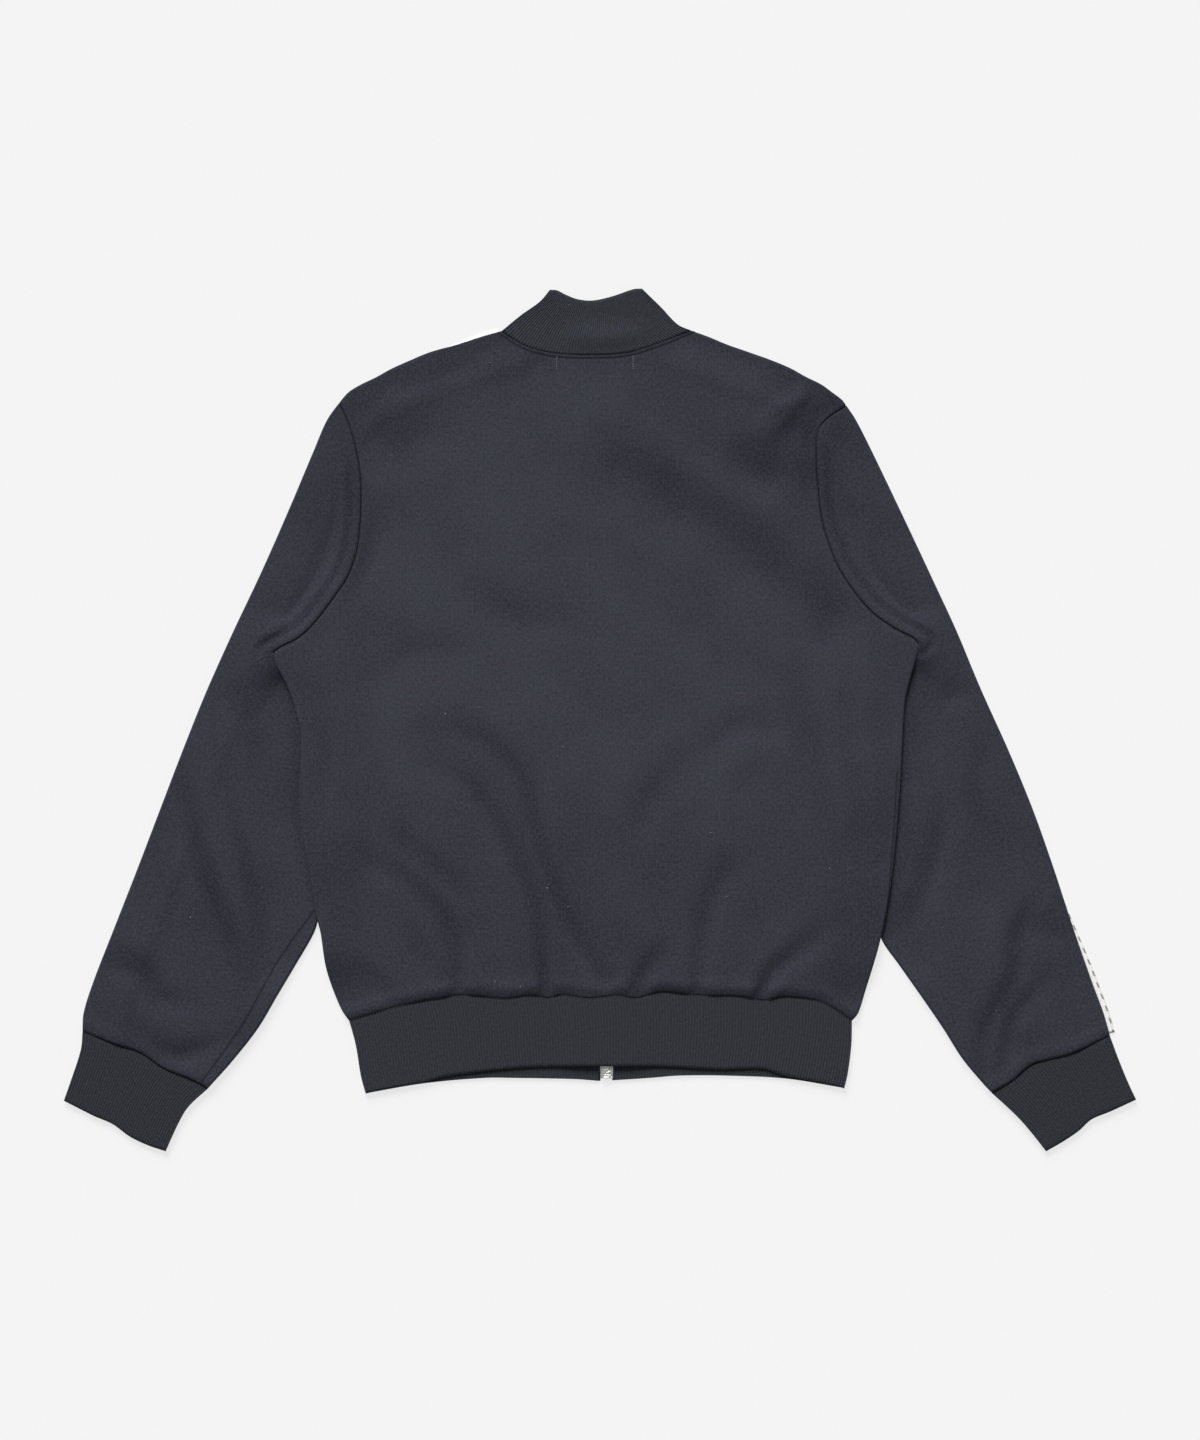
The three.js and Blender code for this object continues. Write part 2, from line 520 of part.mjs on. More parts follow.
function sleeveRows(side, outerRows, innerRows, seamRows, gapSign) {
  const outer = curve(outerRows);
  const inner = curve(innerRows);
  const seam = curve(seamRows);
  const count = ARMHOLE_STEPS.length;
  const armholePoints = moved(side.slice(0, count + 1), gapSign * SEAM_GAP / 2).slice(0, count);
  armholePoints[0] = mix(armholePoints[0], armholePoints[1], ARMHOLE_START);
  const start = heightShare(outer, armholePoints.at(-1)[1]);
  const rows = [
    ...armholePoints.map((point) => ({ out: outer.at(heightShare(outer, point[1])), in: point, bow: 0 })),
    ...SLEEVE_STEPS.map((f) => (
      { out: outer.at(start + (1 - start) * f), in: inner.at(f), bow: f ** SEAM_BOW })),
  ];
  const across = ({ out, in: inside, bow }) => (u) => {
    const flat = mix(outerRows.at(-1), innerRows.at(-1), u);
    const bowed = seam.at(u);
    const point = mix(out, inside, u);
    return [point[0] + bow * (bowed[0] - flat[0]), point[1] + bow * (bowed[1] - flat[1])];
  };
  const width = ({ out, in: inside }) => Math.hypot(out[0] - inside[0], out[1] - inside[1]);
  return rows.map((row) => ({ width: width(row), at: across(row) }));
}

function sleeve(side, outerRows, innerRows, seamRows, gapSign, folds) {
  const rows = sleeveRows(side, outerRows, innerRows, seamRows, gapSign);
  const closedFrom = ARMHOLE_STEPS.length - 1;
  const topSteps = range(SLEEVE_COLUMNS.top).toReversed();
  const bottomSteps = (width) => {
    const n = SLEEVE_COLUMNS.bottom;
    const plateau = Math.min(TAPE.plateau / width, 1 / n);
    const ramp = Math.min(TAPE.ramp / width, 2 / n);
    return [0, plateau, ramp, ...range(n - 2).slice(1).map((f) => ramp + (1 - ramp) * f)];
  };
  const cut = (row, steps, height, outerInset, innerInset) =>
    steps.map((u) => {
      const from = outerInset / row.width;
      const to = 1 - innerInset / row.width;
      const [x, y] = row.at(from + u * (to - from));
      return [x, y, height(x, y)];
    });
  const underTop = (x, y) => underSleeve(x, y) + CLOTH + airInSleeve(folds, x, y);
  const outer = rows.map((row, j) => {
    const open = j < closedFrom;
    const edge = row.at(0);
    const middle = underSleeve(...edge) + CLOTH + LAYER_GAP / 2;
    return [
      ...cut(row, topSteps, (x, y) => underTop(x, y) + CLOTH, CLOTH, open ? EDGE_BEVEL : CLOTH),
      [...edge, middle],
      ...cut(row, bottomSteps(row.width), underSleeve, CLOTH, open ? EDGE_BEVEL : 0),
    ];
  });
  const inner = rows.map((row, j) => {
    const open = j < closedFrom;
    return [
      ...cut(row, topSteps, underTop, FOLD_WALL, open ? 0 : FOLD_WALL),
      ...cut(
        row, bottomSteps(row.width), (x, y) => underSleeve(x, y) + CLOTH, FOLD_WALL, open ? 0 : FOLD_WALL,
      ),
    ];
  });
  for (const grid of [outer, inner]) {
    grid[grid.length - 1] = grid.at(-1).map(([x, y, z]) => [x, y + SEAM_GAP, z]);
  }
  return { geometry: wall(outer, inner, closedFrom), seam: rows.at(-1).at };
}

// Rib bands: the back sheet carries ribs, the front sheets lie flat on the surface
const ribSteps = (rows) => 2 * Math.round(curve(rows).length / RIB.pitch);
const ribHeight = (i) => RIB.wall + (i % 2 ? RIB.raised : 0);

function bandSheet(edges, count, rows, inset) {
  return sheetGrid(
    sampleChain(edges.top, count), sampleChain(edges.bottom, count),
    sample(edges.left, rows), sample(edges.right, rows), inset,
  );
}

// One band that is open at the zip: front left, round the left fold, back, right fold, front right
function openBand({ back, left, right, ribs, rows, underBack, frontCount }) {
  const half = SEAM_GAP / 2;
  const face = { back: bandSheet(back, ribs, rows, half + EDGE_BEVEL) };
  const lining = { back: bandSheet(back, Math.round(ribs / LINING.ribs), rows, half + EDGE_BEVEL / 2) };
  for (const [name, edges] of [['left', left], ['right', right]]) {
    face[name] = bandSheet(edges, frontCount, rows, half + EDGE_BEVEL);
    lining[name] = bandSheet(edges, frontCount, rows, half + EDGE_BEVEL / 2);
  }
  const foldLeft = sample(back.left, rows);
  const foldRight = sample(back.right, rows);
  const outer = face.back.map((row, j) => [
    ...face.left[j].toReversed().map(([x, y]) => [x, y, 0]),
    [...foldLeft[j], RIB.wall + LAYER_GAP / 2],
    ...row.map(([x, y], i) => [x, y, underBack(x, y) + ribHeight(i)]),
    [...foldRight[j], RIB.wall + LAYER_GAP / 2],
    ...face.right[j].toReversed().map(([x, y]) => [x, y, 0]),
  ]);
  const draw = ([x, y], middle) => [x + Math.sign(middle - x) * FOLD_WALL * LINING.fold, y];
  const inner = lining.back.map((row, j) => {
    const under = (points) => points.map(([x, y]) => [x, y, RIB.wall]);
    const leftRow = lining.left[j].toReversed();
    const rightRow = lining.right[j].toReversed();
    leftRow[leftRow.length - 1] = draw(leftRow.at(-1), ZIP_X);
    rightRow[0] = draw(rightRow[0], ZIP_X);
    const top = row.map(([x, y]) => [x, y, underBack(x, y)]);
    top[0] = [...draw(row[0], ZIP_X), top[0][2]];
    top[top.length - 1] = [...draw(row.at(-1), ZIP_X), top.at(-1)[2]];
    return [...under(leftRow), ...top, ...under(rightRow)];
  });
  return wall(outer, inner);
}

const straight = (a, b) => [a, mix(a, b, 0.5), b];

function hemBand() {
  return openBand({
    back: {
      top: backHem, bottom: sample(HEM_BACK_EDGE, HEM.backCuts), left: HEM_LEFT_EDGE, right: HEM_RIGHT_EDGE,
    },
    left: {
      top: frontHemLeft, bottom: sample(HEM_FRONT_EDGE_LEFT, HEM.frontCuts), left: HEM_LEFT_EDGE,
      right: straight(frontHemLeft.at(-1), HEM_FRONT_EDGE_LEFT.at(-1)),
    },
    right: {
      top: frontHemRight, bottom: sample(HEM_FRONT_EDGE_RIGHT, HEM.frontCuts),
      left: straight(frontHemRight[0], HEM_FRONT_EDGE_RIGHT[0]), right: HEM_RIGHT_EDGE,
    },
    ribs: ribSteps(HEM_SEAM),
    rows: HEM.rows,
    frontCount: frontHemLeft.length - 1,
    underBack: (x, y) => RIB.wall + LAYER_GAP + zipRise(x, y) * HEM.zipShare,
  });
}

function collar() {
  const leftSeam = frontTopLeft.slice(FRONT_COLUMNS.shoulder);
  const rightSeam = frontTopRight.slice(0, FRONT_COLUMNS.neck + 1);
  const neckSeam = backTop.slice(BACK_COLUMNS.shoulder, BACK_COLUMNS.shoulder + BACK_COLUMNS.neck + 1);
  const left = COLLAR_LEFT_EDGE.toReversed();
  const right = COLLAR_RIGHT_EDGE.toReversed();
  return openBand({
    back: { top: sample(COLLAR_TOP_BACK, COLLAR.backCuts), bottom: neckSeam, left, right },
    left: {
      top: sample(COLLAR_TOP_LEFT.toReversed(), COLLAR.frontCuts), bottom: leftSeam, left,
      right: straight(COLLAR_TOP_LEFT[0], leftSeam.at(-1)),
    },
    right: {
      top: sample(COLLAR_TOP_RIGHT.toReversed(), COLLAR.frontCuts), bottom: rightSeam,
      left: straight(COLLAR_TOP_RIGHT.at(-1), rightSeam[0]), right,
    },
    ribs: ribSteps(NECK_BACK),
    rows: COLLAR.rows,
    frontCount: COLLAR.frontColumns,
    underBack: (x, y) => RIB.wall + LAYER_GAP + zipRise(x, y)
      + COLLAR.lift * (1 - smooth(COLLAR.liftFrom, COLLAR.liftTo, y)),
  });
}

// A cuff is a closed tube of rib
function cuff(seamAt, end, outerEdge, innerEdge, flipped) {
  const half = SEAM_GAP / 2;
  const seam = range(SLEEVE_COLUMNS.top).map(seamAt);
  const order = (rows) => (flipped ? rows.toReversed() : rows);
  const edges = {
    top: order(seam), bottom: order(sample(end, CUFF.endCuts)),
    left: flipped ? innerEdge : outerEdge, right: flipped ? outerEdge : innerEdge,
  };
  const { rows, plain } = CUFF;
  const top = bandSheet(edges, ribSteps(end), rows, half + EDGE_BEVEL);
  const bottom = bandSheet(edges, plain, rows, half + EDGE_BEVEL);
  const hollow = bandSheet(edges, plain, rows, half + FOLD_WALL * CUFF.hollow);
  const foldLeft = sample(edges.left, rows);
  const foldRight = sample(edges.right, rows);
  const under = RIB.wall + LAYER_GAP;
  const outer = top.map((row, j) => [
    ...row.map(([x, y], i) => [x, y, under + ribHeight(i)]),
    [...foldRight[j], under - LAYER_GAP / 2],
    ...bottom[j].toReversed().map(([x, y]) => [x, y, 0]),
    [...foldLeft[j], under - LAYER_GAP / 2],
  ]);
  const inner = hollow.map((row, j) => [
    ...row.map(([x, y]) => [x, y, under]),
    ...row.toReversed().map(([x, y]) => [x, y, RIB.wall]),
  ]);
  return wall(outer, inner, 0);
}

// White tape under the shoulder and the sleeve's outer side. Its outer edge shows where it slips out.
function sleeveTape(shoulder, sleeveEdge, inward, slipOut) {
  const { shoulderCuts, sleeveCuts, cuts, from, to, inset } = TAPE_PATH;
  const path = chain([...sample(shoulder, shoulderCuts), ...sample(sleeveEdge, sleeveCuts).slice(1)]);
  const line = range(cuts).map((f) => path(from + (to - from) * f));
  const near = moved(line, inward);
  const far = moved(line, inward * TAPE.width);
  const edge = line.map((point, k) => mix(point, near[k], inset - slipOut(...point)));
  const face = (z) => edge.map((point, k) => [0, 0.5, 1].map((u) => [...mix(point, far[k], u), z]));
  return wall(face(TAPE.thick), face(0));
}
const slipLeft = (x, y) => {
  const { reach, from, full, back, end, low, high } = SLIP_LEFT;
  return reach * smooth(from, full, x) * (1 - smooth(back, end, x)) * smooth(low, high, y);
};
const slipRight = (x, y) => SLIP_RIGHT.reach * smooth(SLIP_RIGHT.from, SLIP_RIGHT.full, y);

// The zip: its two tapes, the closed coil, the slider with its crown, the pull tab and the end box
function coilHeight(y) {
  const { low, step, hemFrom, hemTo, neckFrom, neckTo, slider, sliderFrom, sliderTo } = COIL_Z;
  return low + step * (1 - smooth(hemFrom, hemTo, y)) + step * smooth(neckFrom, neckTo, y)
    + slider * smooth(sliderFrom, sliderTo, y);
}

function zipStrip(left, right, top, thick) {
  const stations = range(ZIP.cuts).map((f) => ZIP.bottom + (top - ZIP.bottom) * f);
  const face = (z) => stations.map((y) => [left, right].map((x) => [x, y, coilHeight(y) + z]));
  return wall(face(thick / 2), face(-thick / 2));
}

function plate(width, length, thick, bevel) {
  const w = width / 2;
  const l = length / 2;
  const shape = new THREE.Shape([
    [-w + bevel, -l], [w - bevel, -l], [w, -l + bevel], [w, l - bevel],
    [w - bevel, l], [-w + bevel, l], [-w, l - bevel], [-w, -l + bevel],
  ].map(([x, y]) => new THREE.Vector2(x, y)));
  return new THREE.ExtrudeGeometry(shape, { depth: thick, bevelEnabled: false });
}
const boxAt = (x, y, z, w, l, h) => new THREE.BoxGeometry(w, l, h).translate(x, y, z);

function solidOf(geometry) {
  const bare = geometry.clone();
  bare.deleteAttribute('normal');
  bare.deleteAttribute('uv');
  const merged = mergeVertices(bare, 1e-4);
  return new wasm.Manifold(new wasm.Mesh({
    numProp: 3,
    vertProperties: new Float32Array(merged.attributes.position.array),
    triVerts: new Uint32Array(merged.index.array),
  }));
}

function geometryOf(solid) {
  const mesh = solid.getMesh();
  const geometry = new THREE.BufferGeometry();
  geometry.setAttribute('position', new THREE.BufferAttribute(mesh.vertProperties, 3));
  geometry.setIndex(new THREE.BufferAttribute(mesh.triVerts, 1));
  geometry.computeVertexNormals();
  return geometry;
}

const joined = (parts) => geometryOf(parts.map(solidOf).reduce((all, part) => all.add(part)));

function slider() {
  const { y, width, length, plate: thick, low, high, corner, postWidth, postLength, postInset } = SLIDER;
  const { post, postX, reach, bar, floor, sunk } = CROWN;
  const axisY = y - CROWN.back;
  const middle = (low + high + thick) / 2;
  const crownPost = (side) =>
    boxAt(ZIP_X, axisY + side * reach, (floor + low + sunk) / 2, postX, post, low - floor + sunk);
  return joined([
    plate(width, length, thick, corner).translate(ZIP_X, y, low),
    plate(width, length, thick, corner).translate(ZIP_X, y, high),
    boxAt(ZIP_X, y + length / 2 - postInset, middle, postWidth, postLength, high - low),
    crownPost(-1),
    crownPost(1),
    boxAt(ZIP_X, axisY, floor + bar / 2, postX, 2 * reach + post, bar),
  ]);
}

// The tab lies along the zip towards the hem; its bar turns in the slider's crown
function pullTab() {
  const { axisZ, bar, armWidth, width, length, hole, innerHalf, corner, sunk } = PULL;
  const axisY = SLIDER.y - CROWN.back;
  const arm = (side) => boxAt(
    ZIP_X + side * (innerHalf + armWidth / 2), axisY - (hole + sunk) / 2, axisZ, armWidth, hole + sunk, bar,
  );
  return joined([
    boxAt(ZIP_X, axisY, axisZ, 2 * (innerHalf + armWidth), bar, bar),
    arm(-1),
    arm(1),
    plate(width, length - hole, bar, corner).translate(ZIP_X, axisY - (length + hole) / 2, axisZ - bar / 2),
  ]);
}

function endBox() {
  const { width, length, low, high, corner } = END_BOX;
  return plate(width, length, high - low, corner).translate(ZIP_X, ZIP.bottom - SEAM_GAP - length / 2, low);
}

const cloth = (color) => new THREE.MeshStandardMaterial({ color, roughness: 0.9, metalness: 0 });
const metal = new THREE.MeshStandardMaterial({ color: SILVER, roughness: 0.35, metalness: 0.9 });
const jersey = cloth(NAVY);
const ribKnit = cloth(NAVY_RIB);
const white = cloth(OFF_WHITE);

const jacket = new THREE.Group();
function add(name, geometry, material) {
  const mesh = new THREE.Mesh(geometry, material);
  mesh.name = name;
  jacket.add(mesh);
}

const sleeveLeft = sleeve(
  leftSide, SLEEVE_LEFT_OUTER, SLEEVE_LEFT_INNER, CUFF_LEFT_SEAM, -1, SLEEVE_LEFT_FOLDS,
);
const sleeveRight = sleeve(
  rightSide, SLEEVE_RIGHT_OUTER, SLEEVE_RIGHT_INNER, CUFF_RIGHT_SEAM, 1, SLEEVE_RIGHT_FOLDS,
);
const zipEdgeLeft = zipEdge(NECK_FRONT_LEFT[0], frontHemLeft.at(-1));
const zipEdgeRight = zipEdge(NECK_FRONT_RIGHT.at(-1), frontHemRight[0]);
const coilHalf = ZIP.coilWidth / 2;
const zipTape = (from, to) => zipStrip(ZIP_X + from, ZIP_X + to, ZIP.top, ZIP.tapeThick);

add('back', backPanel(), jersey);
add('front_left', frontPanel(frontTopLeft, frontHemLeft, leftSide, zipEdgeLeft), jersey);
add('front_right', frontPanel(frontTopRight, frontHemRight, zipEdgeRight, rightSide), jersey);
add('sleeve_left', sleeveLeft.geometry, jersey);
add('sleeve_right', sleeveRight.geometry, jersey);
add('cuff_left', cuff(sleeveLeft.seam, CUFF_LEFT_END, CUFF_LEFT_OUTER, CUFF_LEFT_INNER, false), ribKnit);
add('cuff_right', cuff(sleeveRight.seam, CUFF_RIGHT_END, CUFF_RIGHT_OUTER, CUFF_RIGHT_INNER, true), ribKnit);
add('collar', collar(), ribKnit);
add('hem_band', hemBand(), ribKnit);
add('tape_left', sleeveTape(SHOULDER_LEFT.toReversed(), SLEEVE_LEFT_OUTER, 1, slipLeft), white);
add('tape_right', sleeveTape(SHOULDER_RIGHT, SLEEVE_RIGHT_OUTER, -1, slipRight), white);
add('zip_tape_left', zipTape(-coilHalf - ZIP.tapeWidth, -coilHalf - SEAM_GAP), jersey);
add('zip_tape_right', zipTape(coilHalf + SEAM_GAP, coilHalf + ZIP.tapeWidth), jersey);
add('zip_coil', zipStrip(ZIP_X - coilHalf, ZIP_X + coilHalf, ZIP.coilTo, ZIP.coilThick), jersey);
add('zip_slider', slider(), metal);
add('zip_pull', pullTab(), metal);
add('zip_box', endBox(), metal);

export default jacket;
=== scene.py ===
"""Track jacket laid flat on its front: the cloth, rib, tape and zip, with a studio stage.

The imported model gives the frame. Lengths in the tables are millimetres in that frame, and every
mesh is written in metres. A sheet is a grid of plan points filled in between its four edges, and a
height for each point; a tube or band is a ring of such sheets joined by round folds.
"""
import math

import bpy
import numpy as np
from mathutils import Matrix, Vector


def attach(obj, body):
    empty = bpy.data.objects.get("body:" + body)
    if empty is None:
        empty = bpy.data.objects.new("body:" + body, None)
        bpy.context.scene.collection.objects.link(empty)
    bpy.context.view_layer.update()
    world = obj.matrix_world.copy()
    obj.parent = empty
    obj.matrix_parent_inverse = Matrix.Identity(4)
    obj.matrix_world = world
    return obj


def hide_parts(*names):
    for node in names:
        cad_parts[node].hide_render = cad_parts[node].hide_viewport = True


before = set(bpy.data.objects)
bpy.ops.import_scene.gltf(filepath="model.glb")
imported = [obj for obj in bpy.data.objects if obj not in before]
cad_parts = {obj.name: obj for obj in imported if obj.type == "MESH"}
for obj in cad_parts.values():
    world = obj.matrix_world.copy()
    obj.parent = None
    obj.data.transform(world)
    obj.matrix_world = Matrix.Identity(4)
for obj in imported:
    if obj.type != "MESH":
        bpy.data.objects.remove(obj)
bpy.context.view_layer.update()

bl_info = {
    "name": "Track jacket laid flat",
    "version": (1, 0, 0),
    "blender": (4, 5, 0),
    "location": "View3D > Sidebar > Jacket",
    "description": "Makes a zip jacket in jersey and rib, laid flat with its back up",
    "category": "Add Mesh",
}

MM = 0.001

# Walls, gaps and heights, as in the solids
CLOTH = 1.5
RIB_WALL = 2.0
SEAM_GAP = 0.3
LAYER_GAP = 0.4
MAX_AIR = 4.4
TAPE_WIDTH = 25.0
TAPE_THICK = 0.8
TAPE_ROOM = 1.1
TAPE_PLATEAU = 30.0
TAPE_RAMP = 44.0
UNDERARM_LIFT = 4.2
LIFT_START = 188.0
LIFT_FULL = 231.0
FADE_TOP = -196.0
FADE_END = -236.0
SHELTER_INNER = 268.0
SHELTER_OUTER = 306.0
ZIP_X = 5.0
ZIP_ROOM = 6.0
COIL_WIDTH = 5.5
ZIP_TAPE_WIDTH = 14.0
ZIP_TOP = 311.0
ZIP_BOTTOM = -292.8
COIL_TOP = 302
COIL_PITCH = 1.7

# Outlines seen from above, as rows of x and y
SHOULDER_LEFT = [
    (-221.5, 269.5), (-213.5, 278.5), (-203, 285), (-190.5, 291), (-177, 298.5), (-161.5, 305.5),
    (-144.5, 312.5), (-121.5, 319), (-99.5, 326), (-83.5, 330.5),
]
NECK_BACK = [
    (-83.5, 330.5), (-63, 317.5), (-40, 311.5), (-11, 310), (21, 311.5), (47.5, 319), (77, 331),
]
SHOULDER_RIGHT = [
    (77, 331), (91, 326), (108, 319), (126.5, 312.5), (146, 305.5), (161.5, 299), (175, 291.5),
    (188, 285), (197, 278.5), (205.5, 272), (209, 267.5),
]
ARMHOLE_LEFT = [
    (-221.5, 269.5), (-212.5, 249.5), (-206.5, 228), (-203, 207), (-202.5, 183), (-203.5, 164),
    (-206.5, 142), (-214, 121), (-224.5, 105), (-239, 85.5), (-253.5, 71), (-268, 63), (-278, 57.5),
]
ARMHOLE_RIGHT = [
    (209, 267.5), (186.5, 248.5), (183.5, 221.5), (186, 187), (188, 171.5), (193, 152.5),
    (202.5, 129), (217, 106.5), (233, 89), (252.5, 76), (263, 71), (271, 65.5),
]
SIDE_LEFT = [
    (-278, 57.5), (-276.5, 50.5), (-265, 27.5), (-257.5, 5), (-253.5, -15.5), (-255, -59),
    (-253.5, -92), (-248, -123), (-243, -151), (-239.5, -171), (-237, -181), (-233, -208),
    (-228, -225.5), (-220, -245), (-213, -255.5),
]
SIDE_RIGHT = [
    (271, 65.5), (270, 59), (260, 22.5), (257.5, 0), (255, -51.5), (251, -102.5), (245.5, -148.5),
    (238, -186), (232, -208), (226, -228), (219.5, -248.5), (214, -255.5),
]
HEM_SEAM = [
    (-213, -255.5), (-177, -245), (-136, -236), (-110.5, -234), (-80, -236.5), (-57, -233.5),
    (-45, -236.5), (-34, -233.5), (-8.5, -236.5), (15, -234), (30.5, -236.5), (51, -231), (84, -234),
    (122.5, -235), (137.5, -238.5), (155.5, -235), (188.5, -240), (214, -255.5),
]
HEM_LEFT_EDGE = [(-213, -255.5), (-207.5, -276), (-203, -303), (-199, -317.5)]
HEM_RIGHT_EDGE = [(214, -255.5), (213.5, -276), (210.5, -300), (207.5, -313)]
HEM_BACK_EDGE = [
    (-199, -317.5), (-174, -312.5), (-149, -308), (-131, -303), (-72, -296), (-34, -294.5),
    (51, -294.5), (102, -297), (138, -296.5), (155, -302), (183, -307.5), (207.5, -313),
]
HEM_FRONT_LEFT = [
    (-199, -317.5), (-149, -309), (-98, -304.5), (-72, -304.5), (-21.5, -305.5), (-1, -307),
]
HEM_FRONT_RIGHT = [
    (11, -306.5), (42.5, -304.5), (68, -302.5), (106.5, -302.5), (157.5, -305), (207.5, -313),
]
SLEEVE_LEFT_OUTER = [
    (-221.5, 269.5), (-232, 254.5), (-243, 229), (-264.5, 178), (-287, 127), (-311, 76), (-334, 25),
    (-354.5, -26), (-374, -77), (-393.5, -128), (-411.5, -174), (-430, -221.5), (-438.5, -248.5),
    (-439.5, -264.5),
]
SLEEVE_LEFT_INNER = [
    (-278, 57.5), (-275.5, 50.2), (-266, 38), (-254, 18), (-245, -8), (-239, -44), (-236.5, -88),
    (-235, -128), (-237, -155), (-240, -172), (-244, -183), (-258.5, -208), (-274.5, -235),
    (-290.5, -262), (-312, -289.5), (-333, -313),
]
SLEEVE_RIGHT_OUTER = [
    (209, 267.5), (217.5, 254.5), (230.5, 229), (255, 178), (279, 127), (302.5, 76), (324, 25),
    (347, -26), (368, -77), (386, -128), (401, -174), (417.5, -221.5), (427.5, -248.5), (433, -268),
]
SLEEVE_RIGHT_INNER = [
    (271, 65.5), (269, 58.5), (261, 42), (249, 18), (242, -10), (239, -54), (237, -100),
    (234, -140), (234.5, -170), (240, -188), (254, -208), (273, -235), (291.5, -262), (308, -288),
    (325.5, -309), (332.5, -316.5),
]
CUFF_LEFT_SEAM = [
    (-439.5, -264.5), (-412, -275), (-390, -282.5), (-370.5, -295.5), (-345, -306), (-333, -313),
]
CUFF_LEFT_END = [
    (-455.5, -323.5), (-430, -336.5), (-414, -343.5), (-399.5, -354), (-384, -361.5), (-369, -366.5),
]
CUFF_LEFT_OUTER = [(-439.5, -264.5), (-441, -280), (-449, -305), (-455.5, -323.5)]
CUFF_LEFT_INNER = [(-333, -313), (-350, -329), (-358.5, -343.5), (-369, -366.5)]
CUFF_RIGHT_SEAM = [
    (433, -268), (398, -284), (380, -288.5), (365.5, -293), (350, -306), (332.5, -316.5),
]
CUFF_RIGHT_END = [
    (455.5, -322.5), (434, -332.5), (417.5, -339.5), (407, -349), (393, -358.5), (379, -366.5),
]
CUFF_RIGHT_OUTER = [(433, -268), (441, -289.5), (449.5, -310), (455.5, -322.5)]
CUFF_RIGHT_INNER = [(332.5, -316.5), (354.5, -337), (366, -350), (379, -366.5)]
COLLAR_LEFT_EDGE = [(-42.5, 365.5), (-51, 355.5), (-67, 344), (-83.5, 330.5)]
COLLAR_RIGHT_EDGE = [(35.5, 366.5), (52, 350.5), (66, 336), (77, 331)]
COLLAR_TOP_BACK = [
    (-42.5, 365.5), (-36, 365), (-29, 361.5), (-18.5, 357.5), (-6, 356.5), (10, 360), (28, 366),
    (35.5, 366.5),
]
NECK_FRONT_LEFT = [(-83.5, 330.5), (-80, 311), (-66, 284), (-40, 261), (-1, 250)]
NECK_FRONT_RIGHT = [(11, 250), (42, 261), (62, 284), (74, 311), (77, 331)]
COLLAR_TOP_LEFT = [(-42.5, 365.5), (-34, 346), (-20, 325), (-1, 312)]
COLLAR_TOP_RIGHT = [(11, 312), (23, 325), (31, 346), (35.5, 366.5)]
LEFT_EDGE_LINE = SLEEVE_LEFT_OUTER[::-1] + SHOULDER_LEFT[1:]
RIGHT_EDGE_LINE = SHOULDER_RIGHT + SLEEVE_RIGHT_OUTER[1:]

# Folds: half width at the start and end of the line, depth at its start, middle and end, the line
BACK_FOLDS = [
    ((13, 6), (0.4, 2.6, 1.9), [(-150, -10), (-105, -16), (-67, -51), (-49, -113), (-26, -171), (4, -222)]),
    ((12, 4.5), (0.26, 2.47, 3.2), [(-152, -36), (-110, -54), (-75, -113), (-52, -171), (-46, -234)]),
    ((12, 7), (0.26, 2.34, 2.08), [(-210, -108), (-151, -148), (-123, -189), (-120, -232)]),
    ((11, 10), (0.13, 1.95, 0.13), [(-180, -90), (-136, -130), (-108, -160)]),
    ((9, 10), (0.13, 1.69, 0.65), [(-228, -206), (-195, -222), (-172, -243)]),
    ((5, 12), (3.12, 2.08, 0.13), [(30, -236), (38, -214), (62, -186)]),
    ((7, 13), (1.17, 2.21, 0.26), [(82, -236), (87, -186), (94, -151), (124, -106)]),
    ((5, 12), (2.86, 2.21, 0.13), [(136, -236), (148, -212), (168, -197), (196, -170)]),
    ((12, 15), (0.13, 1.56, 0.13), [(22, -112), (48, -59), (80, -22)]),
    ((12, 15), (0.13, 1.43, 0.13), [(84, -46), (112, -8), (160, -6)]),
    ((15, 10), (0.26, 1.95, 1.17), [(154, 52), (186, -36), (199, -115), (214, -205)]),
    ((24, 24), (0.6, 2.6, 0.9), [(6, 226), (60, 194), (97, 171), (155, 124), (194, 92)]),
    ((9, 7), (-0.6, -2.6, -2.0), [(136, 246), (152, 257), (166, 270), (176, 278)]),
    ((4, 5), (1.6, 2.6, 0.6), [(177, 279), (180.5, 272), (182, 256), (184, 232)]),
    ((18, 14), (0.65, 2.34, 1.04), [(88, 236), (140, 207), (155, 224), (174, 262)]),
    ((7, 9), (0.78, 2.47, 0.39), [(184, 262), (178, 232), (180, 196), (186, 160)]),
    ((17, 14), (0.39, 1.69, 0.39), [(-180, 280), (-141, 290), (-100, 307)]),
    ((18, 18), (0.78, 1.82, 0.26), [(-204, 262), (-172, 234), (-132, 258)]),
    ((14, 12), (0.39, 1.69, 0.65), [(-186, 176), (-196, 142), (-212, 106)]),
    ((11, 11), (0.26, 1.82, 0.39), [(213, 56), (206, 0), (217, -72), (224, -160)]),
    ((11, 11), (0.26, 1.43, 0.26), [(-245, 30), (-238, -23), (-243, -84)]),
    ((14, 14), (0.13, 1.17, 0.13), [(-120, 120), (-70, 88), (-10, 84)]),
    ((12, 14), (0.13, 1.04, 0.13), [(-190, 40), (-150, 62), (-104, 52)]),
]
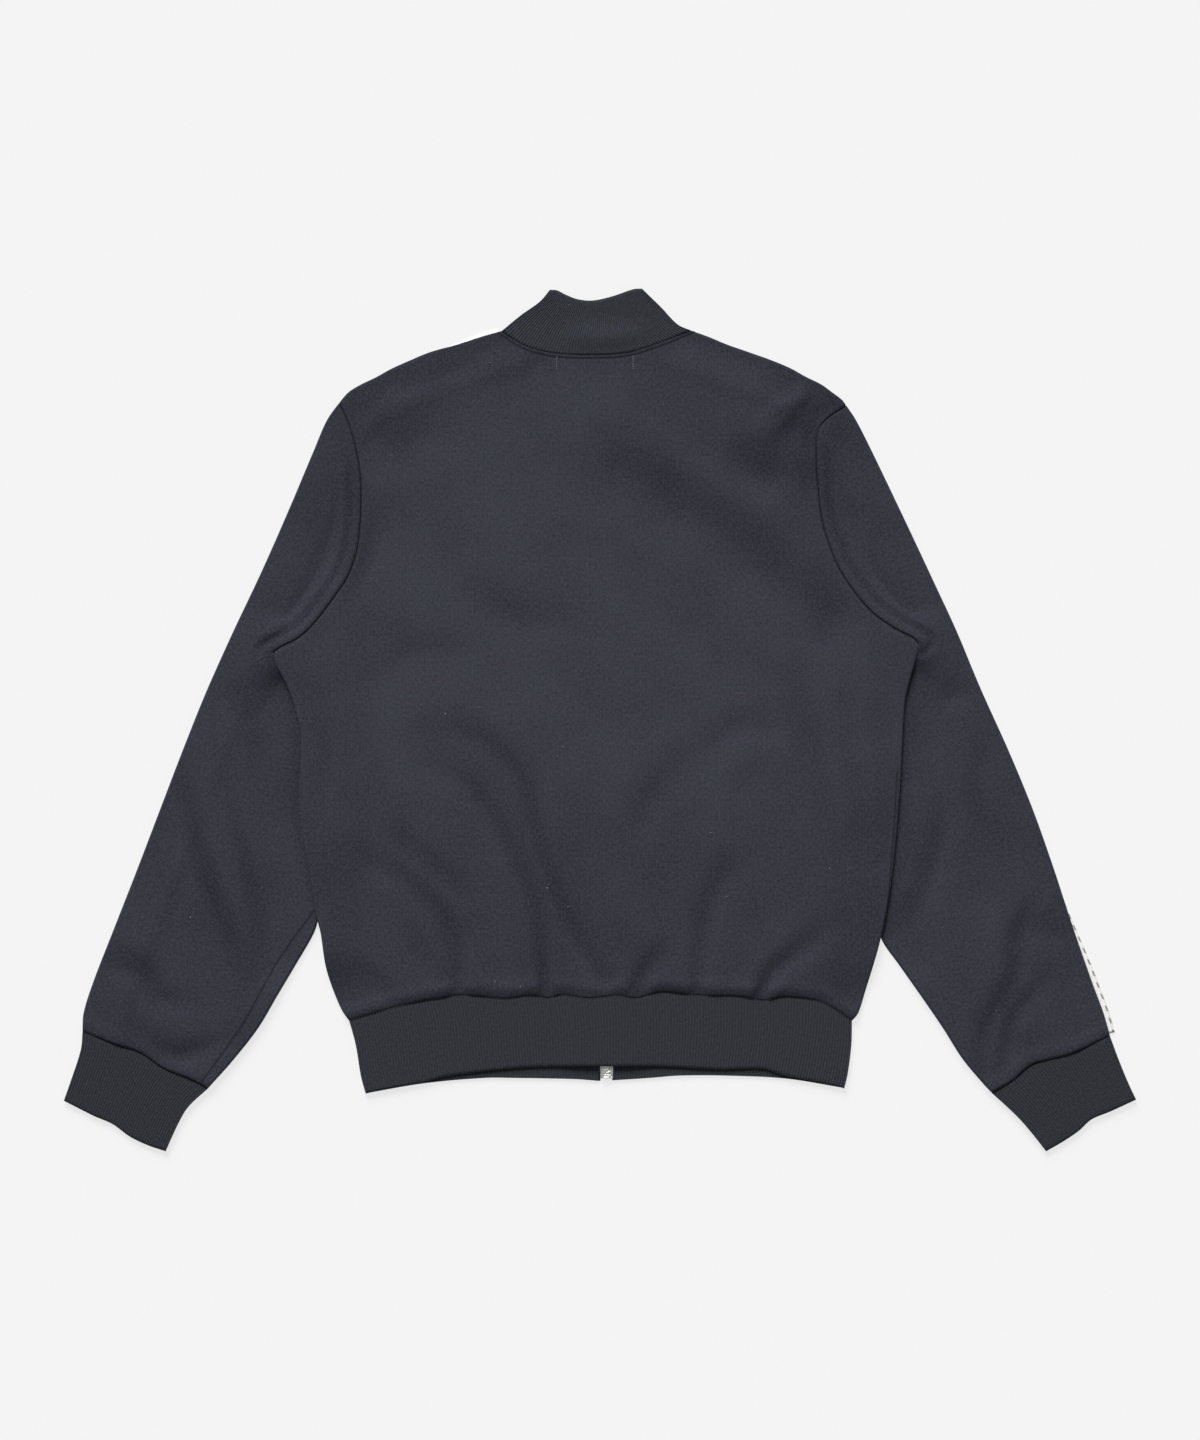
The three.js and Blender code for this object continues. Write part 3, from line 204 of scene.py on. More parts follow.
SLEEVE_LEFT_FOLDS = [
    ((10, 11), (0.3, 2.6, 0.5), [(-354, -42), (-337, -117), (-308, -200), (-296, -230)]),
    ((10, 9), (0.2, 2.0, 0.4), [(-316, -66), (-308, -100), (-292, -160), (-282, -214)]),
    ((10, 10), (0.9, 2.1, 0.3), [(-420, -198), (-387, -215), (-372, -236), (-344, -242)]),
    ((9, 9), (0.8, 1.9, 0.7), [(-388, -270), (-361, -284), (-322, -273)]),
    ((12, 12), (0.1, 1.2, 0.1), [(-330, 40), (-302, 6), (-284, -40)]),
]
SLEEVE_RIGHT_FOLDS = [
    ((9, 8), (0.3, 2.5, 1.1), [(378, -138), (354, -182), (349, -222), (328, -262), (325, -306)]),
    ((8, 7), (0.4, 2.2, 1.4), [(376, -222), (350, -254), (342, -300)]),
    ((12, 11), (0.3, 2.3, 0.4), [(287, -62), (282, -105), (270, -141), (247, -180)]),
    ((11, 11), (0.3, 1.7, 0.3), [(322, 36), (284, 18)]),
    ((12, 12), (0.5, 1.6, 0.3), [(402, -171), (360, -180)]),
    ((12, 12), (0.1, 1.1, 0.1), [(332, -10), (318, -60), (322, -110)]),
]

# Broad places of painted shade, where the cloth's colour is made darker: half width, strength, line
PAINTED_SHADE_PLACES = [
    (24, 0.75, [(14, 220), (60, 194), (97, 171), (155, 124), (192, 94)]),
    (24, 0.9, [(122, 224), (150, 214), (176, 212)]),
    (12, 0.8, [(183, 262), (198, 268)]),
    (24, 0.45, [(95, 238), (140, 212), (165, 230), (176, 262)]),
    (26, 0.30, [(-204, 262), (-172, 240), (-132, 262)]),
    (22, 0.30, [(-184, 176), (-199, 135), (-211, 100)]),
    (20, 0.25, [(-150, -10), (-105, -20), (-70, -60), (-50, -120)]),
    (22, 0.25, [(186, -36), (199, -115), (212, -200)]),
]

# Small puckers where the hem seam is gathered: x of each, half width and depth
HEM_PUCKERS = [
    (-120, 5, 0.6), (-46, 3.6, 1.9), (30.5, 4, 2.0), (84, 5, 0.7), (137, 4, 1.7), (-177, 5, 0.4),
]

# The side seam that shows near the right edge, and the underarm seam that shows on the left sleeve
SIDE_SEAM_RIGHT = [(252, -44), (251.6, -51.4), (247.4, -115), (241.4, -179), (237, -196)]
UNDERARM_SEAM_LEFT = [(-243, -162), (-273.7, -205), (-302.6, -257), (-338, -307)]

# The box at the zip's end: its sides and length, its top and underside, and each slot's depth and line
BOX_LEFT = 0.5
BOX_RIGHT = 11.3
BOX_LONG = 11.5
BOX_TOP = 4.1
BOX_UNDER = 1.2
BOX_SLOTS = [
    (1.0, [(2.9, -295.5), (7.6, -295.5), (8.2, -297.2), (4.4, -299.4)]),
    (1.0, [(3.4, -300.6), (8.6, -300.6)]),
    (0.8, [(9.6, -294.5), (9.6, -302.5)]),
    (0.6, [(2.6, -302.6), (7.4, -302.6)]),
]

# Tack stitches: x of each row, then its top and bottom. Lint: the place of each fleck
TACK_ROWS = [(-36.6, 309, 297), (28.0, 309, 297)]
TACKS_IN_ROW = 6
LINT = [
    (-93.5, 303), (-26, 352), (-31, -23), (-36, -31), (-102, 11), (-27, -158.5), (-89, -222), (113, 5),
    (94, -95.6), (107, -150),
]

# How finely the meshes are cut
COLUMNS_PER_RIB = 6
ARMHOLE_ROWS = 76
FOLD_TURNS = 5

# How far a band's lining stays inside its folds
FOLD_INSET = 1.6

# Value of a distance where there is no seam or line
FAR = 50.0

# The stage, in metres. The photo has 1440 rows of 0.85 mm, and the camera's sensor is in millimetres
FLOOR_REACH = 4.0
FLOOR_DROP = 0.0003
CAMERA_HEIGHT = 3.0
KEY_FROM = (-0.45, 1.8, 1.1)
PHOTO_ROWS = 1440
PIXEL = 0.00085
SENSOR = 36.0


# Curves, edges and grids

def smooth(low, high, x):
    """Zero below low, one above high, and an S-curve between."""
    t = np.clip((x - low) / (high - low), 0.0, 1.0)
    return t * t * (3 - 2 * t)


def curve(rows, shares):
    """Points of a smooth curve through the rows, at shares of its length: cubic Hermite pieces
    whose slope at each row is that of the line between its two neighbours."""
    p = np.asarray(rows, float)
    marks = np.append(0, np.cumsum(np.hypot(*np.diff(p, axis=0).T)))
    last = len(p) - 1
    before = np.maximum(np.arange(len(p)) - 1, 0)
    after = np.minimum(np.arange(len(p)) + 1, last)
    slope = (p[after] - p[before]) / (marks[after] - marks[before])[:, None]
    s = np.clip(shares, 0, 1) * marks[-1]
    k = np.clip(np.searchsorted(marks, s, side="right") - 1, 0, last - 1)
    span = (marks[k + 1] - marks[k])[:, None]
    t = (s - marks[k])[:, None] / span
    start = (2 * t**3 - 3 * t**2 + 1) * p[k] + (t**3 - 2 * t**2 + t) * span * slope[k]
    end = (3 * t**2 - 2 * t**3) * p[k + 1] + (t**3 - t**2) * span * slope[k + 1]
    return start + end


def evenly(rows, count):
    """Count plus one points of the smooth curve, evenly spaced by length."""
    return curve(rows, np.linspace(0, 1, count + 1))


def length_of(rows):
    """The length of the chain of straight lines through the rows."""
    return float(np.hypot(*np.diff(np.asarray(rows, float), axis=0).T).sum())


def normals(points):
    """Unit vectors to the left of the direction of travel, from each point's two neighbours."""
    step = np.gradient(np.asarray(points, float), axis=0)
    step /= np.linalg.norm(step, axis=1)[:, None]
    return np.stack([-step[:, 1], step[:, 0]], axis=1)


def moved(points, distance):
    """The points moved to the left of their direction of travel."""
    return np.asarray(points, float) + normals(points) * distance


def joined(parts, weights, t):
    """Points of several smooth curves taken one after another. Each has its own share of t."""
    marks = np.append(0, np.cumsum(weights)) / np.sum(weights)
    pieces = []
    for k, rows in enumerate(parts):
        inside = (t >= marks[k]) & (t < marks[k + 1] if k < len(parts) - 1 else t <= 1)
        pieces.append(curve(rows, (t[inside] - marks[k]) / (marks[k + 1] - marks[k])))
    return np.concatenate(pieces)


def steps(count, length, close=(0.35, 0.9, 1.6, 2.5)):
    """Even steps from 0 to 1, with more near both ends: close gives their distances from the end
    in millimetres, on an edge of the given length."""
    near = np.asarray(close) / length
    return np.unique(np.concatenate([np.linspace(0, 1, count + 1), near, 1 - near]).round(7))


def fill(top, bottom, left, right, across=None, down=None):
    """A grid between four edges: each pair of facing edges blended in a straight line, added, less
    the blend of the four corners. across and down are the shares at which the edges were taken."""
    u = np.linspace(0, 1, len(top)) if across is None else across
    v = np.linspace(0, 1, len(left)) if down is None else down
    u, v = u[None, :, None], v[:, None, None]
    ruled = (1 - v) * top[None] + v * bottom[None] + (1 - u) * left[:, None] + u * right[:, None]
    corners = (1 - u) * (1 - v) * top[0] + u * (1 - v) * top[-1]
    return ruled - corners - (1 - u) * v * bottom[0] - u * v * bottom[-1]


def sheet_grid(top, bottom, left, right, insets, across=None, down=None):
    """The plan of a sheet whose top, bottom, left and right edges are each drawn in by an inset."""
    edges = [np.asarray(e, float) for e in (top, bottom, left, right)]
    t, b, le, r = [moved(e, d * s) for e, d, s in zip(edges, insets, (-1, 1, 1, -1))]
    for row, end, other, other_end in ((t, 0, le, 0), (t, -1, r, 0), (b, 0, le, -1), (b, -1, r, -1)):
        base = edges[0][end] if row is t else edges[1][end]
        corner = row[end] + other[other_end] - base
        row[end] = corner
        other[other_end] = corner
    return fill(t, b, le, r, across, down)


def nearest(line, xy):
    """How far each point of the array is from a chain of straight lines, and at which share of the
    chain's pieces its nearest place lies."""
    best = np.full(xy.shape[:-1], np.inf)
    share = np.zeros(xy.shape[:-1])
    rows = np.asarray(line, float)
    for k, (a, b) in enumerate(zip(rows[:-1], rows[1:])):
        ab = b - a
        t = np.clip(((xy - a) @ ab) / (ab @ ab), 0, 1)
        away = np.linalg.norm(xy - a - t[..., None] * ab, axis=-1)
        share = np.where(away < best, (k + t) / (len(rows) - 1), share)
        best = np.minimum(best, away)
    return best, share


def distance(line, xy):
    """How far each point of the array is from a chain of straight lines."""
    return nearest(line, xy)[0]


def signed(line, xy):
    """Distance from a line with few bends, positive to the left of its direction of travel."""
    best = np.full(xy.shape[:-1], np.inf)
    side = np.ones(xy.shape[:-1])
    rows = np.asarray(line, float)
    for a, b in zip(rows[:-1], rows[1:]):
        ab = b - a
        ap = xy - a
        t = np.clip((ap @ ab) / (ab @ ab), 0, 1)
        away = np.linalg.norm(ap - t[..., None] * ab, axis=-1)
        side = np.where(away < best, np.sign(ab[0] * ap[..., 1] - ab[1] * ap[..., 0]), side)
        best = np.minimum(best, away)
    return best * side


def by_side(left_line, right_line, xy):
    """Distance to the left line where x is negative, and to the right line elsewhere."""
    return np.where(xy[..., 0] < 0, distance(left_line, xy), distance(right_line, xy))


# Heights of the cloth

def between_ends(depths):
    """Five depths along a fold from three, so that it deepens soon and stays deep in its middle."""
    start, middle, end = depths
    return start, 0.25 * start + 0.75 * middle, middle, 0.25 * end + 0.75 * middle, end


def fold_depth(folds, xy):
    """Every fold's trough: a bell curve of the distance from its line, less a lower and wider bell
    on either side, where the cloth is pushed up. Width and depth change along the line."""
    total = np.zeros(xy.shape[:-1])
    for halves, depths, line in folds:
        away, share = nearest(evenly(line, 24), xy)
        half = np.interp(share, (0, 1), halves)
        depth = np.interp(share, (0, 0.25, 0.5, 0.75, 1), between_ends(depths))
        away = away / half
        total += depth * (np.exp(-(away**2)) - 0.2 * np.exp(-(((away - 2.1) / 1.2) ** 2)))
    return total


def painted_darkening(folds, xy, painted_dark):
    """How much painted shade darkens the cloth, the largest of three: the given strength times the creases'
    depth, a bell curve round each pucker at the hem, and a bell curve across each broad dark place."""
    total = painted_dark * np.clip(fold_depth(folds, xy) / 2.4, 0, 1)
    to_hem = distance(HEM_SEAM, xy)
    for x, half, depth in HEM_PUCKERS:
        spread = half * (0.7 + to_hem / 14)
        gathered = np.exp(-(((xy[..., 0] - x) / spread) ** 2) - (to_hem / 12) ** 2)
        total = np.maximum(total, 0.5 * depth * gathered)
    for half, strength, line in PAINTED_SHADE_PLACES:
        total = np.maximum(total, strength * np.exp(-((distance(evenly(line, 16), xy) / half) ** 2)))
    return total


def roll(away, radius, depth):
    """How far a cloth's edge turns down: a quarter of an ellipse over the radius, zero beyond it."""
    share = np.clip(1 - away / radius, 0, 1)
    return depth * (1 - np.sqrt(1 - share**2))


def zip_rise(xy):
    """The low rise over the zip, higher over the slider."""
    x, y = xy[..., 0], xy[..., 1]
    near = 1 - smooth(14, 48, np.abs(x - ZIP_X))
    return near * (2.0 + 2.2 * smooth(225, 258, y)) * (1 - smooth(314, 345, y))


def tape_room(xy):
    """The room that the tape takes: whole over a plateau along the edge, then down on an S-curve."""
    return TAPE_ROOM * (1 - smooth(TAPE_PLATEAU, TAPE_RAMP, by_side(LEFT_EDGE_LINE, RIGHT_EDGE_LINE, xy)))


def body_lift(xy):
    """How far the body's side is lifted where it lies on the sleeve."""
    x, y = np.abs(xy[..., 0]), xy[..., 1]
    fade = smooth(FADE_END, FADE_TOP, y) * (1 - smooth(200, 250, y))
    return UNDERARM_LIFT * smooth(LIFT_START, LIFT_FULL, x) * fade


def under_body(xy):
    """The height of the body's underside: over the tape or over the sleeve, whichever is more."""
    return np.maximum(tape_room(xy), body_lift(xy))


def under_sleeve(xy):
    """The height of a sleeve's underside: over the tape, or beside the armhole as high as the body."""
    reach = 26 + 40 * smooth(262, 300, np.abs(xy[..., 0]))
    near = 1 - smooth(4, reach, by_side(ARMHOLE_LEFT, ARMHOLE_RIGHT, xy))
    return np.maximum(tape_room(xy), body_lift(xy) * near)


def air_under_back(xy, strength):
    """Air between the fronts and the back: a low swell or the ridge beside the armholes, less the
    folds and the puckers, and held between a floor over the zip and the hem and the most air."""
    edge = by_side(LEFT_EDGE_LINE, RIGHT_EDGE_LINE, xy)
    seam = by_side(ARMHOLE_LEFT, ARMHOLE_RIGHT, xy)
    inside = smooth(0, 55, by_side(SIDE_LEFT, SIDE_RIGHT, xy)) * smooth(0, 40, edge)
    ridge = 2.4 * (1 - smooth(0, 60, seam)) * smooth(0, 34, edge)
    to_hem = distance(HEM_SEAM, xy)
    hem = 1 - smooth(0, 26, to_hem)
    swell = np.maximum(3.4 * inside * (1 - 0.6 * (1 - smooth(0, 13, to_hem))), ridge)
    air = swell - strength * fold_depth(BACK_FOLDS, xy) * smooth(0, 30, seam + 12)
    for x, half, depth in HEM_PUCKERS:
        air -= depth * np.exp(-(((xy[..., 0] - x) / half) ** 2)) * np.exp(-to_hem / 9)
    ramp = smooth(165, 190, np.abs(xy[..., 0])) * (1 - smooth(232, 250, np.abs(xy[..., 0])))
    floor = LAYER_GAP + np.maximum(np.maximum(0.3 * hem, 0.6 * ramp), 0.8 * zip_rise(xy))
    return np.maximum(np.minimum(MAX_AIR, air), floor)


def hem_puff(xy):
    """The soft roll of cloth just above the hem seam: a bell curve of the distance from the seam,
    made uneven along it by two slow waves, and cut at the puckers."""
    away = distance(HEM_SEAM, xy)
    uneven = 0.75 + 0.25 * np.sin(xy[..., 0] / 17) * np.cos(xy[..., 0] / 29 + 1)
    notch = sum(depth * np.exp(-(((xy[..., 0] - x) / half) ** 2)) for x, half, depth in HEM_PUCKERS)
    return 2.2 * uneven * np.exp(-(((away - 6) / 6) ** 2)) * (1 - np.clip(0.6 * notch, 0, 0.95))


def air_in_sleeve(folds, xy, strength):
    """Air inside a sleeve: a low swell where the body doesn't lie on it, less the folds, or the ridge
    beside the armhole seam, and less the crease that runs along it."""
    edge = by_side(LEFT_EDGE_LINE, RIGHT_EDGE_LINE, xy)
    seam = by_side(ARMHOLE_LEFT, ARMHOLE_RIGHT, xy)
    reach = 24 + 34 * smooth(262, 300, np.abs(xy[..., 0]))
    ridge = 2.4 * (1 - smooth(4, reach, seam)) * smooth(0, 34, edge)
    outside = smooth(SHELTER_INNER, SHELTER_OUTER, np.abs(xy[..., 0]))
    free = np.maximum(outside, smooth(-200, -235, xy[..., 1]))
    body = 2.2 * free * smooth(0, 45, edge) * smooth(10, 60, seam) - strength * fold_depth(folds, xy)
    crease = 2.3 * strength * beside_armhole(xy, seam)
    return LAYER_GAP + np.clip(np.maximum(ridge, body) - crease, 0, MAX_AIR)


def beside_armhole(xy, seam):
    """The soft crease on the sleeve beside the seam's allowance: a bell curve, fading at both ends."""
    ends = (1 - smooth(185, 240, xy[..., 1])) * smooth(46, 68, xy[..., 1])
    return np.exp(-(((seam - 9.5) / 4) ** 2)) * ends


def raised(grid, height):
    """A plan grid with its heights, as points."""
    return np.concatenate([grid, height[..., None]], axis=-1)


# Meshes from grids

def quads(a, b, c, d):
    """Four arrays of corner numbers as rows of faces."""
    return np.stack([a, b, c, d], axis=-1).reshape(-1, 4)


def sheet_faces(ids):
    """The faces of a grid of point numbers."""
    return quads(ids[:-1, :-1], ids[:-1, 1:], ids[1:, 1:], ids[1:, :-1])


def wall_faces(rows, cols, closed_from=None):
    """The faces of a wall between an outer and an inner grid of one size: the outer grid, the inner
    one turned over, and strips round the rim. From row closed_from on each row is a closed ring."""
    a = np.arange(rows * cols).reshape(rows, cols)
    b = a + rows * cols
    c = rows if closed_from is None else closed_from
    faces = [sheet_faces(a), sheet_faces(b)[:, ::-1]]
    if c < rows:
        faces.append(quads(a[c:-1, -1], a[c:-1, 0], a[c + 1:, 0], a[c + 1:, -1]))
        faces.append(quads(b[c:-1, -1], b[c:-1, 0], b[c + 1:, 0], b[c + 1:, -1])[:, ::-1])
    first = np.append(np.arange(cols), 0) if c == 0 else np.arange(cols)
    last = np.append(np.arange(cols), 0) if c < rows else np.arange(cols)
    t, tb = a[0, first], b[0, first]
    faces.append(quads(t[1:], t[:-1], tb[:-1], tb[1:]))
    t, tb = a[-1, last], b[-1, last]
    faces.append(quads(t[:-1], t[1:], tb[1:], tb[:-1]))
    if c > 0:
        le, lb, ri, rb = (g[:c + 1, k] for g, k in ((a, 0), (b, 0), (a, -1), (b, -1)))
        faces.append(quads(le[:-1], le[1:], lb[1:], lb[:-1]))
        faces.append(quads(ri[1:], ri[:-1], rb[:-1], rb[1:]))
    if 0 < c < rows:
        faces.append(quads(a[c:c + 1, 0], a[c:c + 1, -1], b[c:c + 1, -1], b[c:c + 1, 0]))
    return np.concatenate(faces)


def outward(points, faces):
    """The faces turned over if the signed volume that they enclose is negative."""
    p = points[faces]
    volume = (p[:, 0] * np.cross(p[:, 1], p[:, 2])).sum() + (p[:, 0] * np.cross(p[:, 2], p[:, 3])).sum()
    return faces if volume > 0 else faces[:, ::-1]


def along(points, axis):
    """The running length of each row or column of a grid of points, in the plan."""
    step = np.linalg.norm(np.diff(points[..., :2], axis=axis), axis=-1)
    pad = [(0, 0), (0, 0)]
    pad[axis] = (1, 0)
    return np.pad(np.cumsum(step, axis=axis), pad)


def turned(xy, degrees):
    """Plan points turned about the origin, so that the second number runs along the knit."""
    c, s = math.cos(math.radians(degrees)), math.sin(math.radians(degrees))
    return np.stack([xy[..., 0] * c - xy[..., 1] * s, xy[..., 0] * s + xy[..., 1] * c], axis=-1)


def mesh_piece(name, points, faces, material, uv, values=None):
    """A smooth mesh object from points in millimetres, with a UV map in metres and point values."""
    mesh = bpy.data.meshes.new(name)
    faces = outward(points, faces)
    mesh.vertices.add(len(points))
    mesh.vertices.foreach_set("co", (points * MM).astype(np.float32).ravel())
    mesh.loops.add(faces.size)
    mesh.loops.foreach_set("vertex_index", faces.astype(np.int32).ravel())
    mesh.polygons.add(len(faces))
    mesh.polygons.foreach_set("loop_start", np.arange(0, faces.size, 4, dtype=np.int32))
    mesh.polygons.foreach_set("use_smooth", np.ones(len(faces), dtype=bool))
    mesh.update(calc_edges=True)
    layer = mesh.uv_layers.new(name="Cloth")
    layer.data.foreach_set("uv", (uv[faces.ravel()] * MM).astype(np.float32).ravel())
    for label, numbers in (values or {}).items():
        attribute = mesh.attributes.new(label, "FLOAT", "POINT")
        attribute.data.foreach_set("value", numbers.astype(np.float32).ravel())
    if mesh.validate(verbose=False):
        raise RuntimeError(f"{name}: the mesh has a wrong face")
    mesh.materials.append(material)
    obj = bpy.data.objects.new(name, mesh)
    bpy.context.scene.collection.objects.link(obj)
    return obj


def wall_piece(name, outer, inner, material, uv, closed_from=None, values=None):
    """A closed wall between two grids of points. The UV grid serves both faces."""
    rows, cols = outer.shape[:2]
    points = np.concatenate([outer.reshape(-1, 3), inner.reshape(-1, 3)])
    both = np.concatenate([uv.reshape(-1, 2)] * 2)
    doubled = {k: np.concatenate([v.ravel()] * 2) for k, v in (values or {}).items()}
    return mesh_piece(name, points, wall_faces(rows, cols, closed_from), material, both, doubled)


def finish_piece(obj, nodes, body="jacket"):
    """Hangs the piece on the body that it rides on, and hides the solids that it stands for."""
    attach(obj, body)
    if nodes:
        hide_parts(*nodes)
    return obj


# Node groups shared by the materials

def new_group(name, inputs, outputs):
    """An empty shader node group with named sockets: kind and default for each input."""
    tree = bpy.data.node_groups.new(name, "ShaderNodeTree")
    for label, kind, default in inputs:
        socket = tree.interface.new_socket(label, in_out="INPUT", socket_type=f"NodeSocket{kind}")
        if default is not None:
            socket.default_value = default
    for label, kind in outputs:
        tree.interface.new_socket(label, in_out="OUTPUT", socket_type=f"NodeSocket{kind}")
    return tree, tree.nodes.new("NodeGroupInput"), tree.nodes.new("NodeGroupOutput")


def connect(tree, value, socket):
    """A socket is linked, and a plain value is set."""
    if isinstance(value, bpy.types.NodeSocket):
        tree.links.new(value, socket)
    else:
        socket.default_value = value


def sum_of(tree, operation, *values):
    """One Math node."""
    node = tree.nodes.new("ShaderNodeMath")
    node.operation = operation
    for value, socket in zip(values, node.inputs):
        connect(tree, value, socket)
    return node.outputs[0]


def noise(tree, vector, scale, detail=2.0, rough=0.5):
    """The value of a noise texture."""
    node = tree.nodes.new("ShaderNodeTexNoise")
    connect(tree, vector, node.inputs["Vector"])
    connect(tree, scale, node.inputs["Scale"])
    node.inputs["Detail"].default_value = detail
    node.inputs["Roughness"].default_value = rough
    return node.outputs["Fac"]


def remap(tree, value, low, high, to_low=0.0, to_high=1.0):
    """A value carried smoothly from one range to another."""
    node = tree.nodes.new("ShaderNodeMapRange")
    node.interpolation_type = "SMOOTHSTEP"
    for socket, part in zip(node.inputs[:5], (value, low, high, to_low, to_high)):
        connect(tree, part, socket)
    return node.outputs["Result"]


def split(tree, vector):
    """The three parts of a vector."""
    node = tree.nodes.new("ShaderNodeSeparateXYZ")
    connect(tree, vector, node.inputs[0])
    return node.outputs


def knit_group():
    """Rows of knitted loops: a ridge for each wale, notched at each course, with uneven yarn."""
    tree, inp, out = new_group(
        "Knit loops",
        [("Map", "Vector", None), ("Wales per metre", "Float", 800.0),
         ("Courses per metre", "Float", 1000.0), ("Unevenness", "Float", 0.4)],
        [("Height", "Float"), ("Yarn shade", "Float")],
    )
    u, v, _ = split(tree, inp.outputs["Map"])
    wobble = noise(tree, inp.outputs["Map"], 260.0, 1.0)
    shift = sum_of(tree, "MULTIPLY", wobble, inp.outputs["Unevenness"])
    across = sum_of(tree, "ADD", sum_of(tree, "MULTIPLY", u, inp.outputs["Wales per metre"]), shift)
    down = sum_of(tree, "MULTIPLY", v, inp.outputs["Courses per metre"])
    wale = sum_of(tree, "ABSOLUTE", sum_of(tree, "SINE", sum_of(tree, "MULTIPLY", across, math.pi)))
    course = sum_of(tree, "ABSOLUTE", sum_of(tree, "SINE", sum_of(tree, "MULTIPLY", down, math.pi)))
    notch = sum_of(tree, "MULTIPLY_ADD", course, 0.35, 0.65)
    height = sum_of(tree, "MULTIPLY", wale, notch)
    yarn = noise(tree, inp.outputs["Map"], 900.0, 2.0)
    tree.links.new(sum_of(tree, "MULTIPLY_ADD", yarn, 0.4, height), out.inputs["Height"])
    tree.links.new(sum_of(tree, "MULTIPLY", height, yarn), out.inputs["Yarn shade"])
    return tree


def mottle_group():
    """Soft clouds of lighter nap, and fine grain: two noises, each spread by an S-curve."""
    tree, inp, out = new_group(
        "Cloth mottling",
        [("Map", "Vector", None), ("Clouds per metre", "Float", 14.0), ("Grain per metre", "Float", 420.0)],
        [("Clouds", "Float"), ("Grain", "Float")],
    )
    clouds = noise(tree, inp.outputs["Map"], inp.outputs["Clouds per metre"], 4.0, 0.6)
    grain = noise(tree, inp.outputs["Map"], inp.outputs["Grain per metre"], 3.0, 0.7)
    tree.links.new(remap(tree, clouds, 0.3, 0.7), out.inputs["Clouds"])
    tree.links.new(remap(tree, grain, 0.25, 0.75), out.inputs["Grain"])
    return tree


def seam_group():
    """A sewn line at a given distance from an edge: a groove shaped like a bell curve, its width
    given, with stitches that come and go along the map."""
    tree, inp, out = new_group(
        "Sewn line",
        [("Distance", "Float", 0.0), ("Line at", "Float", 3.4), ("Line width", "Float", 0.8),
         ("Map", "Vector", None), ("Stitches per metre", "Float", 380.0)],
        [("Groove", "Float"), ("Stitch", "Float")],
    )
    away = sum_of(tree, "SUBTRACT", inp.outputs["Distance"], inp.outputs["Line at"])
    share = sum_of(tree, "DIVIDE", away, inp.outputs["Line width"])
    square = sum_of(tree, "MULTIPLY", share, share)
    groove = sum_of(tree, "EXPONENT", sum_of(tree, "MULTIPLY", square, -1.0))
    u, v, _ = split(tree, inp.outputs["Map"])
    run = sum_of(tree, "MULTIPLY", sum_of(tree, "ADD", u, v), inp.outputs["Stitches per metre"])
    beat = sum_of(tree, "SINE", sum_of(tree, "MULTIPLY", run, math.pi))
    tree.links.new(groove, out.inputs["Groove"])
    tree.links.new(sum_of(tree, "MULTIPLY", groove, remap(tree, beat, -0.2, 0.4)), out.inputs["Stitch"])
    return tree


def fluff_group():
    """Sparse flecks of lint: the middles of Voronoi cells, kept where the cell's colour is high."""
    tree, inp, out = new_group(
        "Lint flecks",
        [("Map", "Vector", None), ("Cells per metre", "Float", 90.0), ("Fleck size", "Float", 0.08)],
        [("Fleck", "Float")],
    )
    cells = tree.nodes.new("ShaderNodeTexVoronoi")
    tree.links.new(inp.outputs["Map"], cells.inputs["Vector"])
    tree.links.new(inp.outputs["Cells per metre"], cells.inputs["Scale"])
    near = sum_of(tree, "LESS_THAN", cells.outputs["Distance"], inp.outputs["Fleck size"])
    keep = sum_of(tree, "GREATER_THAN", split(tree, cells.outputs["Color"])[0], 0.72)
    tree.links.new(sum_of(tree, "MULTIPLY", near, keep), out.inputs["Fleck"])
    return tree


GROUPS = {"Knit loops": knit_group, "Cloth mottling": mottle_group, "Sewn line": seam_group,
          "Lint flecks": fluff_group}


